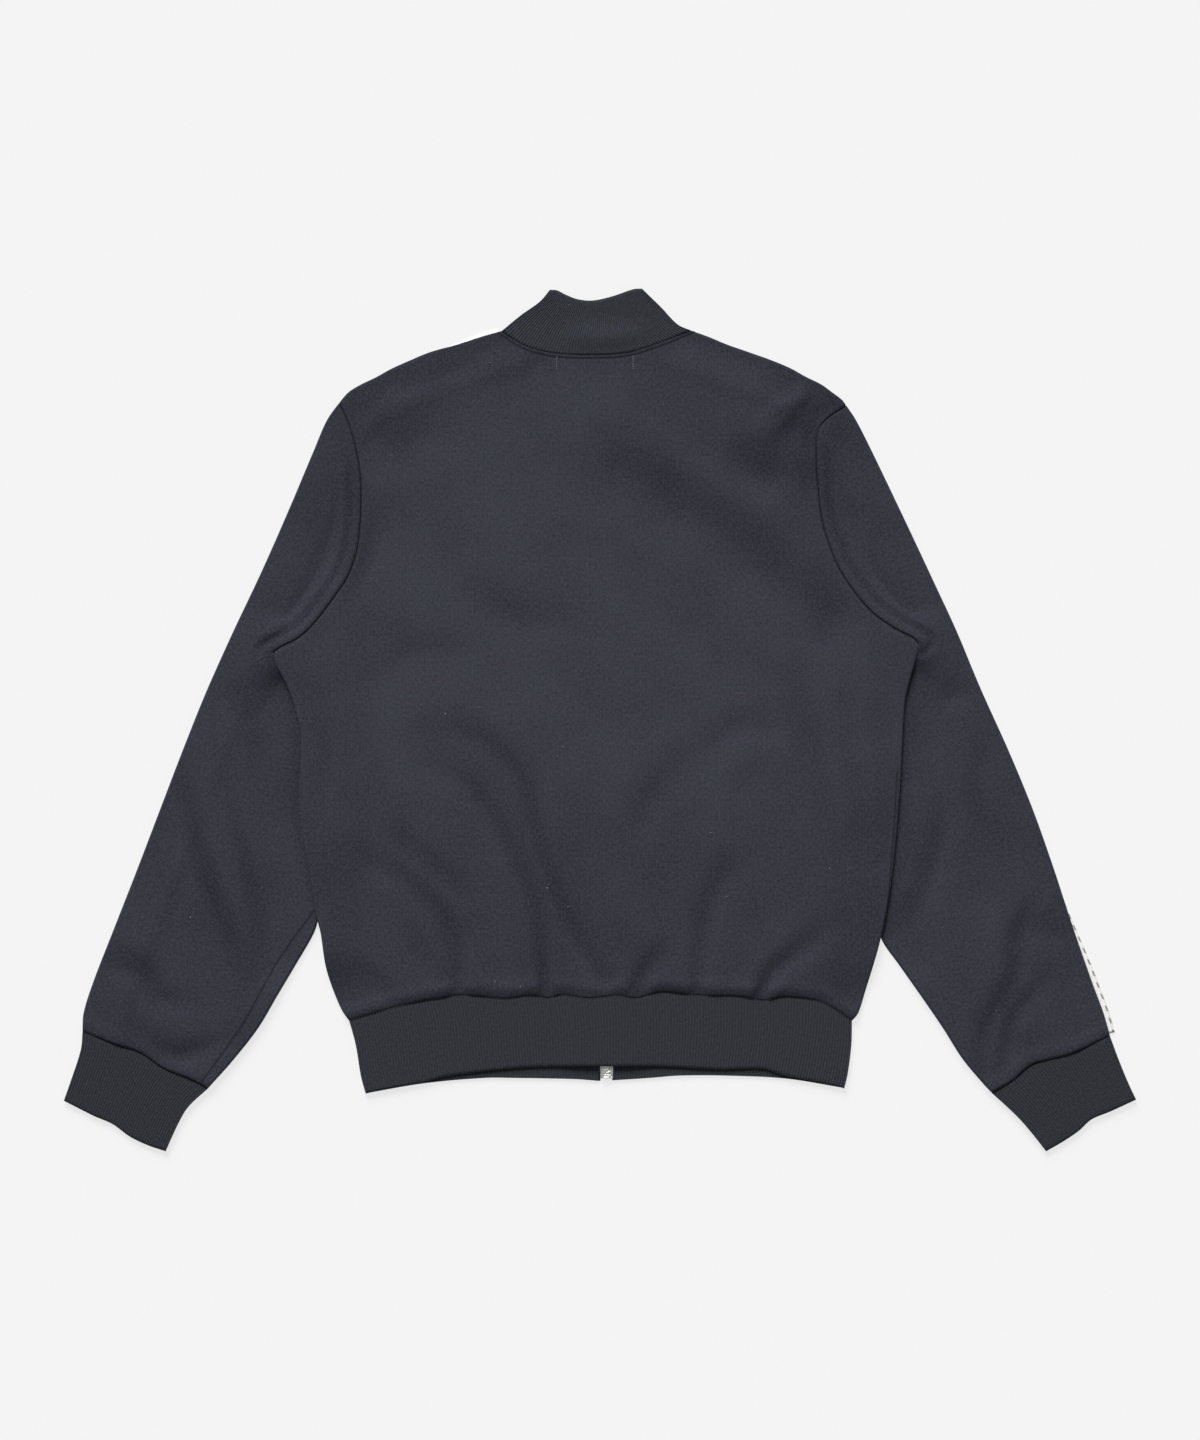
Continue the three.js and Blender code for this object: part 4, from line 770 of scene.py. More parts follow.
class Surface:
    """One material being made: its tree, its Principled shader and short ways to add to it."""

    def __init__(self, name):
        """An empty material with the piece's own map."""
        self.material = bpy.data.materials.new(name)
        self.material.use_nodes = True
        self.tree = self.material.node_tree
        self.shader = self.tree.nodes["Principled BSDF"]
        uv = self.tree.nodes.new("ShaderNodeUVMap")
        uv.uv_map = "Cloth"
        self.map = uv.outputs["UV"]

    def group(self, name, **values):
        """A shared group with its own values. An underscore in a keyword stands for a space."""
        tree = bpy.data.node_groups.get(name) or GROUPS[name]()
        node = self.tree.nodes.new("ShaderNodeGroup")
        node.node_tree = tree
        if "Map" in node.inputs:
            self.tree.links.new(self.map, node.inputs["Map"])
        for label, value in values.items():
            connect(self.tree, value, node.inputs[label.replace("_", " ")])
        return node.outputs

    def value_of(self, name):
        """A value kept on the mesh's points."""
        node = self.tree.nodes.new("ShaderNodeAttribute")
        node.attribute_name = name
        return node.outputs["Fac"]

    def blend(self, share, first, second):
        """Two colours mixed."""
        node = self.tree.nodes.new("ShaderNodeMix")
        node.data_type = "RGBA"
        connect(self.tree, share, node.inputs[0])
        connect(self.tree, first, node.inputs[6])
        connect(self.tree, second, node.inputs[7])
        return node.outputs[2]

    def shaded(self, colour, share, low, high):
        """A colour multiplied by a factor between low and high, carried by a share."""
        node = self.tree.nodes.new("ShaderNodeMix")
        node.data_type = "RGBA"
        node.blend_type = "MULTIPLY"
        node.inputs[0].default_value = 1.0
        connect(self.tree, colour, node.inputs[6])
        connect(self.tree, sum_of(self.tree, "MULTIPLY_ADD", share, high - low, low), node.inputs[7])
        return node.outputs[2]

    def bump(self, height, strength, depth):
        """A Bump node that feeds the shader's normal."""
        node = self.tree.nodes.new("ShaderNodeBump")
        node.inputs["Strength"].default_value = strength
        node.inputs["Distance"].default_value = depth
        connect(self.tree, height, node.inputs["Height"])
        self.tree.links.new(node.outputs["Normal"], self.shader.inputs["Normal"])

    def set(self, **values):
        """Values and sockets for the shader. An underscore in a keyword stands for a space."""
        for label, value in values.items():
            connect(self.tree, value, self.shader.inputs[label.replace("_", " ")])


def tint(colour, factor):
    """A colour made lighter or darker."""
    return tuple(min(1.0, c * factor) for c in colour[:3]) + (1.0,)


def jersey_surface(colours):
    """Brushed jersey: fine wales, cloudy mottling, painted shade in the creases and near the edges, painted
    shade as a dark line along the seams, and a few flecks.
    """
    s = Surface("jersey_knit")
    knit = s.group("Knit loops", Wales_per_metre=820.0, Courses_per_metre=1050.0)
    cloth = s.group("Cloth mottling")
    seam = s.group("Sewn line", Distance=s.value_of("seam"), Line_at=0.0, Line_width=0.9)
    top = s.group("Sewn line", Distance=s.value_of("topstitch"), Line_at=3.4, Line_width=1.0)
    line = s.group("Sewn line", Distance=s.value_of("line"), Line_at=0.0, Line_width=0.9)
    fleck = s.group("Lint flecks", Cells_per_metre=46.0, Fleck_size=0.017)
    # Painted shade: the point value, mixed with soft clouds of random tone, blends the colour from a shaded
    # dark copy of the jersey to a lighter one.
    marked = sum_of(s.tree, "MULTIPLY", s.value_of("painted_shade"), 0.7)
    painted_shade = sum_of(s.tree, "MULTIPLY_ADD", cloth["Clouds"], 0.3, marked)
    painted_dark = tuple(c * share for c, share in zip(colours.jersey, (0.46, 0.42, 0.48))) + (1.0,)
    base = s.blend(painted_shade, painted_dark, tint(colours.jersey, 1.18))
    light = sum_of(s.tree, "MULTIPLY", cloth["Grain"], knit["Yarn shade"])
    flecked = s.blend(sum_of(s.tree, "MULTIPLY", light, 1.1), base, tint(colours.jersey, 1.9))
    grained = s.shaded(flecked, cloth["Grain"], 0.85, 1.15)
    # Painted shade: the colour is darkened along the seams, the topstitch and the seam lines, where their
    # grooves are.
    sewn = sum_of(s.tree, "MAXIMUM", top["Groove"], line["Groove"])
    shade = sum_of(s.tree, "MAXIMUM", seam["Groove"], sewn)
    darker = s.blend(sum_of(s.tree, "MULTIPLY", shade, 0.75), grained, tint(colours.jersey, 0.35))
    s.set(Base_Color=s.blend(fleck["Fleck"], darker, (0.4, 0.39, 0.37, 1.0)))
    height = sum_of(s.tree, "MULTIPLY_ADD", cloth["Grain"], 0.5, knit["Height"])
    s.bump(sum_of(s.tree, "MULTIPLY_ADD", top["Groove"], -3.0, height), 0.5, 0.0003)
    s.set(Roughness=0.92, Sheen_Weight=0.04, Sheen_Roughness=0.5, Specular_IOR_Level=0.1)
    s.shader.inputs["Sheen Tint"].default_value = (0.75, 0.8, 0.95, 1.0)
    return s.material


def rib_surface(colours):
    """Rib knit: the ribs are in the mesh, and the loops along them in the material, with painted light on
    each piece and painted shade in the ditches and at the seam.
    """
    s = Surface("rib_knit")
    knit = s.group("Knit loops", Wales_per_metre=784.0, Courses_per_metre=900.0, Unevenness=0.3)
    cloth = s.group("Cloth mottling", Clouds_per_metre=22.0, Grain_per_metre=520.0)
    seam = s.group("Sewn line", Distance=s.value_of("seam"), Line_at=0.0, Line_width=1.2)
    # Painted light: each piece is made lighter by its own value, the collar most, as it curves up to the
    # light.
    painted_lighting = s.blend(s.value_of("painted_lighting"), tint(colours.rib, 1.05), tint(colours.rib, 1.6))
    base = s.shaded(painted_lighting, cloth["Grain"], 0.68, 1.32)
    # Painted shade: the ditches between the ribs are coloured darker.
    ditch_shade = sum_of(s.tree, "SUBTRACT", 1.0, s.value_of("rib"))
    ditch_shaded = s.blend(sum_of(s.tree, "MULTIPLY", ditch_shade, 0.5), base, tint(colours.rib, 0.5))
    # Painted shade: the colour is darkened along the seam.
    shade = sum_of(s.tree, "MULTIPLY", seam["Groove"], 0.7)
    s.set(Base_Color=s.blend(shade, ditch_shaded, tint(colours.rib, 0.3)))
    s.bump(sum_of(s.tree, "ADD", knit["Height"], cloth["Grain"]), 0.45, 0.0003)
    s.set(Roughness=0.9, Sheen_Weight=0.03, Sheen_Roughness=0.5, Specular_IOR_Level=0.1)
    return s.material


def tape_surface(colours):
    """Off-white woven tape, with a dark line of stitches near its outer edge."""
    s = Surface("shoulder_tape")
    weave = s.group("Knit loops", Wales_per_metre=1300.0, Courses_per_metre=1300.0, Unevenness=0.2)
    cloth = s.group("Cloth mottling", Grain_per_metre=700.0)
    sewn = s.group("Sewn line", Distance=s.value_of("across"), Line_at=1.0, Line_width=0.6,
                   Stitches_per_metre=190.0)
    base = s.blend(cloth["Grain"], tint(colours.tape, 0.86), tint(colours.tape, 1.05))
    thread = sum_of(s.tree, "MULTIPLY", sewn["Stitch"], 0.85)
    s.set(Base_Color=s.blend(thread, base, tint(colours.jersey, 0.8)))
    s.bump(weave["Height"], 0.4, 0.0002)
    s.set(Roughness=0.85, Sheen_Weight=0.1, Specular_IOR_Level=0.3)
    return s.material


def zip_tape_surface(colours):
    """Dark woven zip tape."""
    s = Surface("zip_tape_weave")
    weave = s.group("Knit loops", Wales_per_metre=1600.0, Courses_per_metre=700.0, Unevenness=0.2)
    cloth = s.group("Cloth mottling", Grain_per_metre=800.0)
    s.set(Base_Color=s.blend(cloth["Grain"], tint(colours.rib, 0.8), tint(colours.rib, 1.3)))
    s.bump(weave["Height"], 0.5, 0.0002)
    s.set(Roughness=0.8, Specular_IOR_Level=0.3)
    return s.material


def coil_surface(colours):
    """Dark plastic teeth, a little worn."""
    s = Surface("zip_plastic")
    cloth = s.group("Cloth mottling", Grain_per_metre=900.0)
    s.set(Base_Color=s.blend(cloth["Grain"], tint(colours.rib, 0.7), tint(colours.rib, 1.5)))
    s.set(Roughness=remap(s.tree, cloth["Grain"], 0.0, 1.0, 0.35, 0.55), Specular_IOR_Level=0.5)
    return s.material


def metal_surface(colours):
    """Satin metal with fine brushing and small rubbed patches. Its solids have no UV map."""
    s = Surface("zip_metal")
    s.map = s.tree.nodes.new("ShaderNodeTexCoord").outputs["Object"]
    wear = s.group("Cloth mottling", Clouds_per_metre=260.0, Grain_per_metre=2400.0)
    s.set(Base_Color=s.blend(wear["Clouds"], tint(colours.metal, 0.85), tint(colours.metal, 1.1)))
    s.set(Roughness=remap(s.tree, wear["Grain"], 0.0, 1.0, 0.4, 0.58), Metallic=1.0)
    s.bump(wear["Grain"], 0.2, 0.00005)
    return s.material


def thread_surface(colours):
    """Pale sewing thread."""
    s = Surface("thread")
    cloth = s.group("Cloth mottling", Grain_per_metre=2600.0)
    s.set(Base_Color=s.blend(cloth["Grain"], tint(colours.thread, 0.7), tint(colours.thread, 1.1)))
    s.set(Roughness=0.7, Sheen_Weight=0.1)
    return s.material


SURFACES = {
    "jersey_knit": jersey_surface, "rib_knit": rib_surface, "shoulder_tape": tape_surface,
    "zip_tape_weave": zip_tape_surface, "zip_plastic": coil_surface, "zip_metal": metal_surface,
    "thread": thread_surface,
}


def surface(context, name):
    """The named material, made on first use with the scene's colours."""
    return bpy.data.materials.get(name) or SURFACES[name](context.scene.jacket_colours)


# Plans shared by neighbouring pieces

def side_line(armhole, side, armhole_count, side_count):
    """The armhole and the body's side below it, as one row of points."""
    below = curve(side, np.linspace(0, 1, side_count + 1)[1:])
    return np.concatenate([evenly(armhole, armhole_count), below])


def hem_share(x):
    """How far along the hem seam the place with this x lies."""
    shares = np.linspace(0, 1, 4001)
    return float(np.interp(x, curve(HEM_SEAM, shares)[:, 0], shares))


HEM_LEFT_SHARE = hem_share(ZIP_X - ZIP_ROOM)
HEM_RIGHT_SHARE = hem_share(ZIP_X + ZIP_ROOM)


def back_grids(sizes):
    """Upper and lower faces of the back. Each height is a function of the plan place: the fronts
    below, their wall, the air between, and the back's own wall. Its rim turns down."""
    u = steps(176, 560)
    v = steps(186, 590)
    side_weights = (70, 118)
    top = joined((SHOULDER_LEFT, NECK_BACK, SHOULDER_RIGHT), (62, 58, 62), u)
    left = joined((ARMHOLE_LEFT, SIDE_LEFT), side_weights, v)
    right = joined((ARMHOLE_RIGHT, SIDE_RIGHT), side_weights, v)
    hem = curve(HEM_SEAM, u)
    lower = sheet_grid(top, hem, left, right, [0.15, -0.9, 0.15, 0.15], u, v)
    upper = sheet_grid(top, hem, left, right, [0.3, -0.6, 0.1, 0.1], u, v)
    edges = (left, right, evenly(SHOULDER_LEFT, 80), evenly(SHOULDER_RIGHT, 80))
    rim = np.minimum.reduce([distance(edge, upper) for edge in edges])
    neck = distance(evenly(NECK_BACK, 120), upper)
    to_hem = distance(curve(HEM_SEAM, np.linspace(0, 1, 200)), upper)

    def under(xy):
        """The height of the back's underside: the front's underside, its wall and the air above it."""
        return under_body(xy) + CLOTH + air_under_back(xy, sizes.folds)

    bent = np.maximum(roll(rim, 2.2, 1.3), roll(neck, 1.2, 0.8)) + roll(to_hem, 2.2, 1.5)
    return raised(upper, under(upper) + CLOTH + hem_puff(upper) - bent), raised(lower, under(lower)), upper


def front_grids(is_left):
    """Upper and lower faces of one front, which lies on the surface, the tapes and the sleeves."""
    shoulder, neck, arm, side = 30, 30, 30, 60
    if is_left:
        top = np.concatenate([evenly(SHOULDER_LEFT, shoulder), evenly(NECK_FRONT_LEFT, neck)[1:]])
        hem = curve(HEM_SEAM, np.linspace(0, HEM_LEFT_SHARE, len(top)))
        left = side_line(ARMHOLE_LEFT, SIDE_LEFT, arm, side)
        right = np.linspace(top[-1], hem[-1], len(left))
    else:
        top = np.concatenate([evenly(NECK_FRONT_RIGHT, neck), evenly(SHOULDER_RIGHT, shoulder)[1:]])
        hem = curve(HEM_SEAM, np.linspace(HEM_RIGHT_SHARE, 1, len(top)))
        right = side_line(ARMHOLE_RIGHT, SIDE_RIGHT, arm, side)
        left = np.linspace(top[0], hem[0], len(right))
    half = SEAM_GAP / 2
    lower = sheet_grid(top, hem, left, right, [half + 0.9] * 4)
    upper = sheet_grid(top, hem, left, right, [half] * 4)
    return raised(upper, under_body(upper) + CLOTH), raised(lower, under_body(lower)), upper


def sleeve_plan(armhole, side, outer_rows, inner_rows, seam_rows, gap_side):
    """Rows across a sleeve, from its outer fold to the armhole and then to its own inner fold. The
    last rows bend to the cuff's seam, by the sixth power of their share of the way down."""
    line = side_line(armhole, side, ARMHOLE_ROWS, 60)[:ARMHOLE_ROWS + 2]
    seam_points = moved(line, gap_side * SEAM_GAP / 2)[:ARMHOLE_ROWS + 1]
    seam_points[0] += (seam_points[1] - seam_points[0]) * 0.2
    shares = np.linspace(0, 1, 6001)
    outer_y = curve(outer_rows, shares)[:, 1]
    at_height = np.interp(-seam_points[:, 1], -outer_y, shares)
    low = steps(150, 360)[1:]
    start = at_height[-1]
    out = curve(outer_rows, np.concatenate([at_height, start + (1 - start) * low]))
    inside = np.concatenate([seam_points, curve(inner_rows, 0.006 + 0.994 * low)])
    bow = np.concatenate([np.zeros(ARMHOLE_ROWS + 1), low**6])
    ends = np.asarray([outer_rows[-1], inner_rows[-1]], float)

    def across(u):
        """Points at shares u of each row: a straight blend, bent as the cuff's seam is, by the bow."""
        bent = curve(seam_rows, u.ravel()).reshape(u.shape + (2,))
        flat = (1 - u[..., None]) * ends[0] + u[..., None] * ends[1]
        row = (1 - u[..., None]) * out[:, None] + u[..., None] * inside[:, None]
        return row + bow[:, None, None] * (bent - flat)

    return across, np.linalg.norm(out - inside, axis=1)[:, None], seam_points, seam_rows


def sleeve_rings(plan, folds, sizes):
    """Rings of a sleeve: over the top from the armhole side to the outer fold, round the fold on a
    half circle, and back along the underside. Along the armhole the top is tucked under the back, and
    past it the tuck ends on an S-curve and each ring closes."""
    across, width, seam_line, cuff_seam = plan
    past = np.arange(len(width))[:, None] - ARMHOLE_ROWS
    is_open = past < 0
    top_steps = steps(62, 150)[None, ::-1]
    low_steps = np.linspace(0, 1, 30)[None]
    turn = np.linspace(math.pi / 2, -math.pi / 2, 7)[None, 1:-1]

    def spread(steps, outer_inset, inner_inset):
        """Points at steps of each row, which is drawn in at its two ends by the insets."""
        start = outer_inset / width
        end = 1 - inner_inset / width
        return across(start + steps * (end - start))

    def beyond(steps, inner_inset):
        """True where a step lies past the row's inner end, because its inset is below zero."""
        return CLOTH / width + steps * (1 - inner_inset / width - CLOTH / width) > 1

    def under_top(xy):
        """The height of the hollow's roof: the underside, the lower wall and the air."""
        return under_sleeve(xy) + CLOTH + air_in_sleeve(folds, xy, sizes.folds)

    tuck = CLOTH - 2.4 * (1 - smooth(0, 9, past))
    top = spread(top_steps, CLOTH, tuck)
    low = spread(low_steps, CLOTH, np.where(is_open, 0.9, 0.0))
    bend = across(CLOTH * (1 - np.cos(turn)) / width)
    seam = np.minimum(distance(seam_line, top), 60) * np.where(beyond(top_steps, tuck), -1, 1)
    cuff = distance(curve(cuff_seam, np.linspace(0, 1, 80)), top)
    puff = 0.9 * np.exp(-(((cuff - 6) / 6) ** 2))
    turned_down = np.where(is_open, roll(seam, 2.0, 1.35), 0) + roll(cuff, 3.0, 1.5)
    top_z = under_top(top) + CLOTH + puff - turned_down
    low_z = under_sleeve(low)
    middle = (top_z[:, -1:] + low_z[:, :1]) / 2
    reach = (top_z[:, -1:] - low_z[:, :1]) / 2
    bend_z = middle + reach * np.sin(turn)
    outer = np.concatenate([raised(top, top_z), raised(bend, bend_z), raised(low, low_z)], 1)
    wall = 2.4
    in_top = spread(top_steps, wall, np.where(is_open, 0.0, wall))
    in_low = spread(low_steps, wall, np.where(is_open, 0.0, wall))
    in_bend = across(np.repeat(wall / width, turn.shape[1], axis=1))
    in_top_z = under_top(in_top)
    in_low_z = under_sleeve(in_low) + CLOTH
    step = (1 - np.sin(turn)) / 2
    in_bend_z = in_top_z[:, -1:] * (1 - step) + in_low_z[:, :1] * step
    lining = [raised(in_top, in_top_z), raised(in_bend, in_bend_z), raised(in_low, in_low_z)]
    return outer, np.concatenate(lining, 1)


def rib_wave(count):
    """The rise of rounded ribs along a row of points: one less a cosine, halved, and raised to a power
    below one, so that the ditches are narrow."""
    phase = np.arange(count) / COLUMNS_PER_RIB
    return (0.5 - 0.5 * np.cos(2 * math.pi * phase)) ** 0.7


def band_sheet(edges, columns, rows, inset):
    """A band's plan, its columns evenly spaced along its two long edges."""
    top, bottom, left, right = edges
    u = np.linspace(0, 1, columns + 1)
    v = steps(rows, 60)
    insets = inset if isinstance(inset, list) else [inset] * 4
    return sheet_grid(curve(top, u), curve(bottom, u), curve(left, v), curve(right, v), insets, u, v)


def band_side(rows, edge):
    """Points down a band's side, at the same steps as its sheets."""
    return curve(edge, steps(rows, 60))


def fold_between(upper, lower, edge):
    """Points round a fold: from the upper sheet's end to the lower one's on a half circle whose
    outermost place is the edge."""
    angle = np.linspace(math.pi / 2, -math.pi / 2, FOLD_TURNS + 2)[1:-1]
    share = np.cos(angle)[None, :, None]
    base = ((upper[:, :2] + lower[:, :2]) / 2)[:, None]
    plan = base + share * (edge[:, None] - base)
    middle = ((upper[:, 2] + lower[:, 2]) / 2)[:, None]
    reach = ((upper[:, 2] - lower[:, 2]) / 2)[:, None]
    return raised(plan, middle + reach * np.sin(angle)[None])


def collar_height(xy):
    """The height of the collar's back layer: over the zip's top, and down to the back at its seam."""
    at_seam = 1 - smooth(2, 18, distance(evenly(NECK_BACK, 60), xy))
    return RIB_WALL + LAYER_GAP + zip_rise(xy) * (1 - 0.6 * at_seam) + 0.5 * smooth(0, 30, 340 - xy[..., 1])


def band_rings(back, left, right, ribs, rows, front_columns, z_back, sizes, seam_is_top):
    """One rib band that is open at the zip: front left, round the left fold, back, round the right
    fold, front right. The back's outer face carries the ribs."""
    half = SEAM_GAP / 2
    columns = ribs * COLUMNS_PER_RIB
    wave = rib_wave(columns + 1)[None]
    seam_edge, free_edge = (0, 1) if seam_is_top else (1, 0)
    insets = [half + 0.9] * 4
    insets[seam_edge] = -0.5
    face = band_sheet(back, columns, rows, insets)
    lining = band_sheet(back, columns, rows, half + 0.45)
    groove = (1.7, 1.2) if seam_is_top else (1.3, 0.8)
    bent = roll(distance(evenly(back[seam_edge], 120), face), *groove)
    bent += roll(np.maximum(distance(evenly(back[free_edge], 120), face) - 1, 0), 1.6, 0.9)
    open_ends = ([half + 0.9] * 3 + [-1.4], [half + 0.9] * 2 + [-0.7, half + 0.9])
    fronts = [band_sheet(edges, front_columns, rows, ends) for edges, ends in zip((left, right), open_ends)]
    inside = [band_sheet(edges, front_columns, rows, half + 0.45) for edges in (left, right)]
    front_wave = rib_wave(front_columns + 1)[None]
    top = raised(face, z_back(face) + RIB_WALL + sizes.rib_raise / MM * wave - bent)
    low = [raised(f[:, ::-1], np.zeros(f.shape[:2])) for f in fronts]
    under_top = raised(lining, z_back(lining))
    ribbed = RIB_WALL - 0.35 + 0.35 * front_wave
    over_low = [raised(f[:, ::-1], ribbed + np.zeros(f.shape[:2])) for f in inside]
    edge_left = band_side(rows, back[2])
    edge_right = band_side(rows, back[3])
    outer = [low[0], fold_between(low[0][:, -1], top[:, 0], edge_left), top,
             fold_between(top[:, -1], low[1][:, 0], edge_right), low[1]]
    inset_left = edge_left + normals(edge_left) * FOLD_INSET
    inset_right = edge_right - normals(edge_right) * FOLD_INSET
    inner = [over_low[0], fold_between(over_low[0][:, -1], under_top[:, 0], inset_left), under_top,
             fold_between(under_top[:, -1], over_low[1][:, 0], inset_right), over_low[1]]
    plain = np.ones((1, FOLD_TURNS))
    rib = np.concatenate([front_wave, plain, wave, plain, front_wave], 1)
    return np.concatenate(outer, 1), np.concatenate(inner, 1), np.repeat(rib, len(edge_left), axis=0)


def cuff_rings(seam, end, outer_edge, inner_edge, is_left, sizes):
    """A closed rib tube: ribs on top, round one fold, back underneath and round the other fold."""
    rows = 12
    half = SEAM_GAP / 2
    ribs = round(1.2 * length_of(end) / sizes.rib_pitch * MM)
    columns = ribs * COLUMNS_PER_RIB
    edges = (seam, end, outer_edge, inner_edge)
    if not is_left:
        edges = (seam[::-1], end[::-1], inner_edge, outer_edge)
    wave = rib_wave(columns + 1)[None]
    plan = band_sheet(edges, columns, rows, [-0.5] + [half + 0.9] * 3)
    hollow = band_sheet(edges, columns, rows, half + 1.7)
    bent = roll(distance(evenly(seam, 80), plan), 2.4, 1.3)
    bent += roll(np.maximum(distance(evenly(end, 80), plan) - 1, 0), 1.6, 0.9)
    under = RIB_WALL + LAYER_GAP
    top = raised(plan, under + RIB_WALL + 0.6 * sizes.rib_raise / MM * wave - bent)
    low = raised(plan[:, ::-1], np.zeros(plan.shape[:2]))
    in_top = raised(hollow, np.full(plan.shape[:2], under))
    in_low = raised(hollow[:, ::-1], np.full(plan.shape[:2], RIB_WALL))
    left, right = band_side(rows, edges[2]), band_side(rows, edges[3])
    in_left = (hollow[:, 0] + left) / 2
    in_right = (hollow[:, -1] + right) / 2
    outer = [top, fold_between(top[:, -1], low[:, 0], right), low,
             fold_between(low[:, -1], top[:, 0], left)]
    inner = [in_top, fold_between(in_top[:, -1], in_low[:, 0], in_right), in_low,
             fold_between(in_low[:, -1], in_top[:, 0], in_left)]
    plain = np.ones((1, FOLD_TURNS))
    rib = np.concatenate([wave, plain, wave, plain], 1)
    return np.concatenate(outer, 1), np.concatenate(inner, 1), np.repeat(rib, len(left), axis=0)


def tape_slip_left(xy):
    """How far the left tape slips out from under the shoulder."""
    x, y = xy[:, 0], xy[:, 1]
    return 4.6 * smooth(-155, -92, x) * (1 - smooth(-87, -82, x)) * smooth(300, 312, y)


def tape_slip_right(xy):
    """How far the right tape slips out along the lower sleeve, and a little beside the neck."""
    at_neck = 3.0 * np.exp(-(((xy[:, 0] - 80) / 4) ** 2)) * (xy[:, 1] > 300)
    return 6.6 * smooth(-118, -225, xy[:, 1]) + at_neck


def tape_grids(shoulder, sleeve_edge, inward, slip):
    """The tape as a strip along the shoulder and the sleeve's outer fold: its edge, moved across by
    its width, flat on the surface."""
    cuts, across = 300, 8
    path = np.concatenate([evenly(shoulder, 60), evenly(sleeve_edge, 140)[1:]])
    marks = np.append(0, np.cumsum(np.linalg.norm(np.diff(path, axis=0), axis=1)))
    at = np.linspace(0.003, 0.998, cuts + 1) * marks[-1]
    points = np.stack([np.interp(at, marks, path[:, k]) for k in (0, 1)], axis=1)
    side = normals(points) * inward
    edge = points + side * (1.5 - slip(points))[:, None]
    far = points + side * TAPE_WIDTH
    u = np.linspace(0, 1, across + 1)[None, :, None]
    plan = (1 - u) * edge[:, None] + u * far[:, None]
    flat = np.zeros(plan.shape[:2])
    place = np.stack([u[..., 0] * TAPE_WIDTH + flat, at[:, None] + flat], -1)
    return raised(plan, flat + TAPE_THICK), raised(plan, flat), place


def coil_height(y):
    """The height of the zip's middle: low under the fronts, raised at the hem and the slider."""
    low = 2.1 + 0.5 * (1 - smooth(-236, -222, y)) + 0.5 * smooth(232, 246, y)
    return low + 1.6 * smooth(238, 264, y)


def strip_grids(x_from, x_to, y_to, rows, columns, thick):
    """A strip along the zip, up from its lower end, as thick as the function of its places says."""
    x = np.linspace(x_from, x_to, columns + 1)[None] + np.zeros((rows + 1, 1))
    y = np.linspace(ZIP_BOTTOM, y_to, rows + 1)[:, None] + np.zeros((1, columns + 1))
    plan = np.stack([x, y], axis=-1)
    height = coil_height(y)
    half = thick(x, y) / 2
    return raised(plan, height + half), raised(plan, height - half), plan


def coil_thickness(x, y):
    """Two rows of teeth, half a pitch apart: an absolute sine along the zip, rounded off across it."""
    side = (x - ZIP_X) / (COIL_WIDTH / 2)
    phase = y / COIL_PITCH + 0.5 * (side > 0)
    tooth = np.abs(np.sin(math.pi * phase)) ** 0.6
    round_off = np.sqrt(np.clip(1 - np.abs(side) ** 3, 0, 1))
    return 1.6 * (0.35 + 0.65 * tooth * round_off)


# Settings that a user would change

class JacketSizes(bpy.types.PropertyGroup):
    """Sizes of the knit and the folds."""
    folds: bpy.props.FloatProperty(
        name="Fold depth", description="How deep the creases are, 1 as laid", default=1.0, min=0.0, max=1.3)
    rib_pitch: bpy.props.FloatProperty(
        name="Rib pitch", description="Distance between two ribs", default=0.00255, min=0.0015, max=0.005,
        subtype="DISTANCE", unit="LENGTH", precision=5)
    rib_raise: bpy.props.FloatProperty(
        name="Rib height", description="How far a rib stands up", default=0.00045, min=0.0, max=0.001,
        subtype="DISTANCE", unit="LENGTH", precision=5)


class JacketColours(bpy.types.PropertyGroup):
    """Colours of the cloth, the tape and the zip, as linear values."""
    jersey: bpy.props.FloatVectorProperty(
        name="Jersey", description="Body and sleeves", default=(0.0335, 0.0352, 0.0455), min=0, max=1,
        subtype="COLOR")
    rib: bpy.props.FloatVectorProperty(
        name="Rib", description="Collar, cuffs and hem", default=(0.0295, 0.0322, 0.0402), min=0, max=1,
        subtype="COLOR")
    tape: bpy.props.FloatVectorProperty(
        name="Tape", description="Tape along the shoulders and sleeves", default=(0.9, 0.89, 0.86), min=0,
        max=1, subtype="COLOR")
    metal: bpy.props.FloatVectorProperty(
        name="Metal", description="Slider, pull tab and end box", default=(0.72, 0.72, 0.7), min=0, max=1,
        subtype="COLOR")
    thread: bpy.props.FloatVectorProperty(
        name="Thread", description="Tack stitches below the collar", default=(0.19, 0.2, 0.225), min=0,
        max=1, subtype="COLOR")
    floor: bpy.props.FloatVectorProperty(
        name="Floor", description="The pale floor", default=(0.16, 0.16, 0.16), min=0, max=1,
        subtype="COLOR")


class JacketLight(bpy.types.PropertyGroup):
    """The studio's lights."""
    key: bpy.props.FloatProperty(
        name="Key light", description="Soft light from beyond the collar", default=4.5, min=0.0)
    softness: bpy.props.FloatProperty(
        name="Key softness", description="How wide the key light is", default=0.5, min=0.0, max=3.0,
        subtype="ANGLE", unit="ROTATION")
    fill: bpy.props.FloatProperty(
        name="Room light", description="Strength of the even light all round", default=0.3, min=0.0)
    floor_glow: bpy.props.FloatProperty(
        name="Floor glow", description="Light that comes through the floor, as on a light table",
        default=0.74, min=0.0, max=1.0)


# One operator for each piece or group of like pieces

class PieceOperator:
    """Shared settings of the operators."""
    bl_options = {"REGISTER", "UNDO"}

    def sizes(self, context):
        """The sizes that the user has set."""
        return context.scene.jacket_sizes


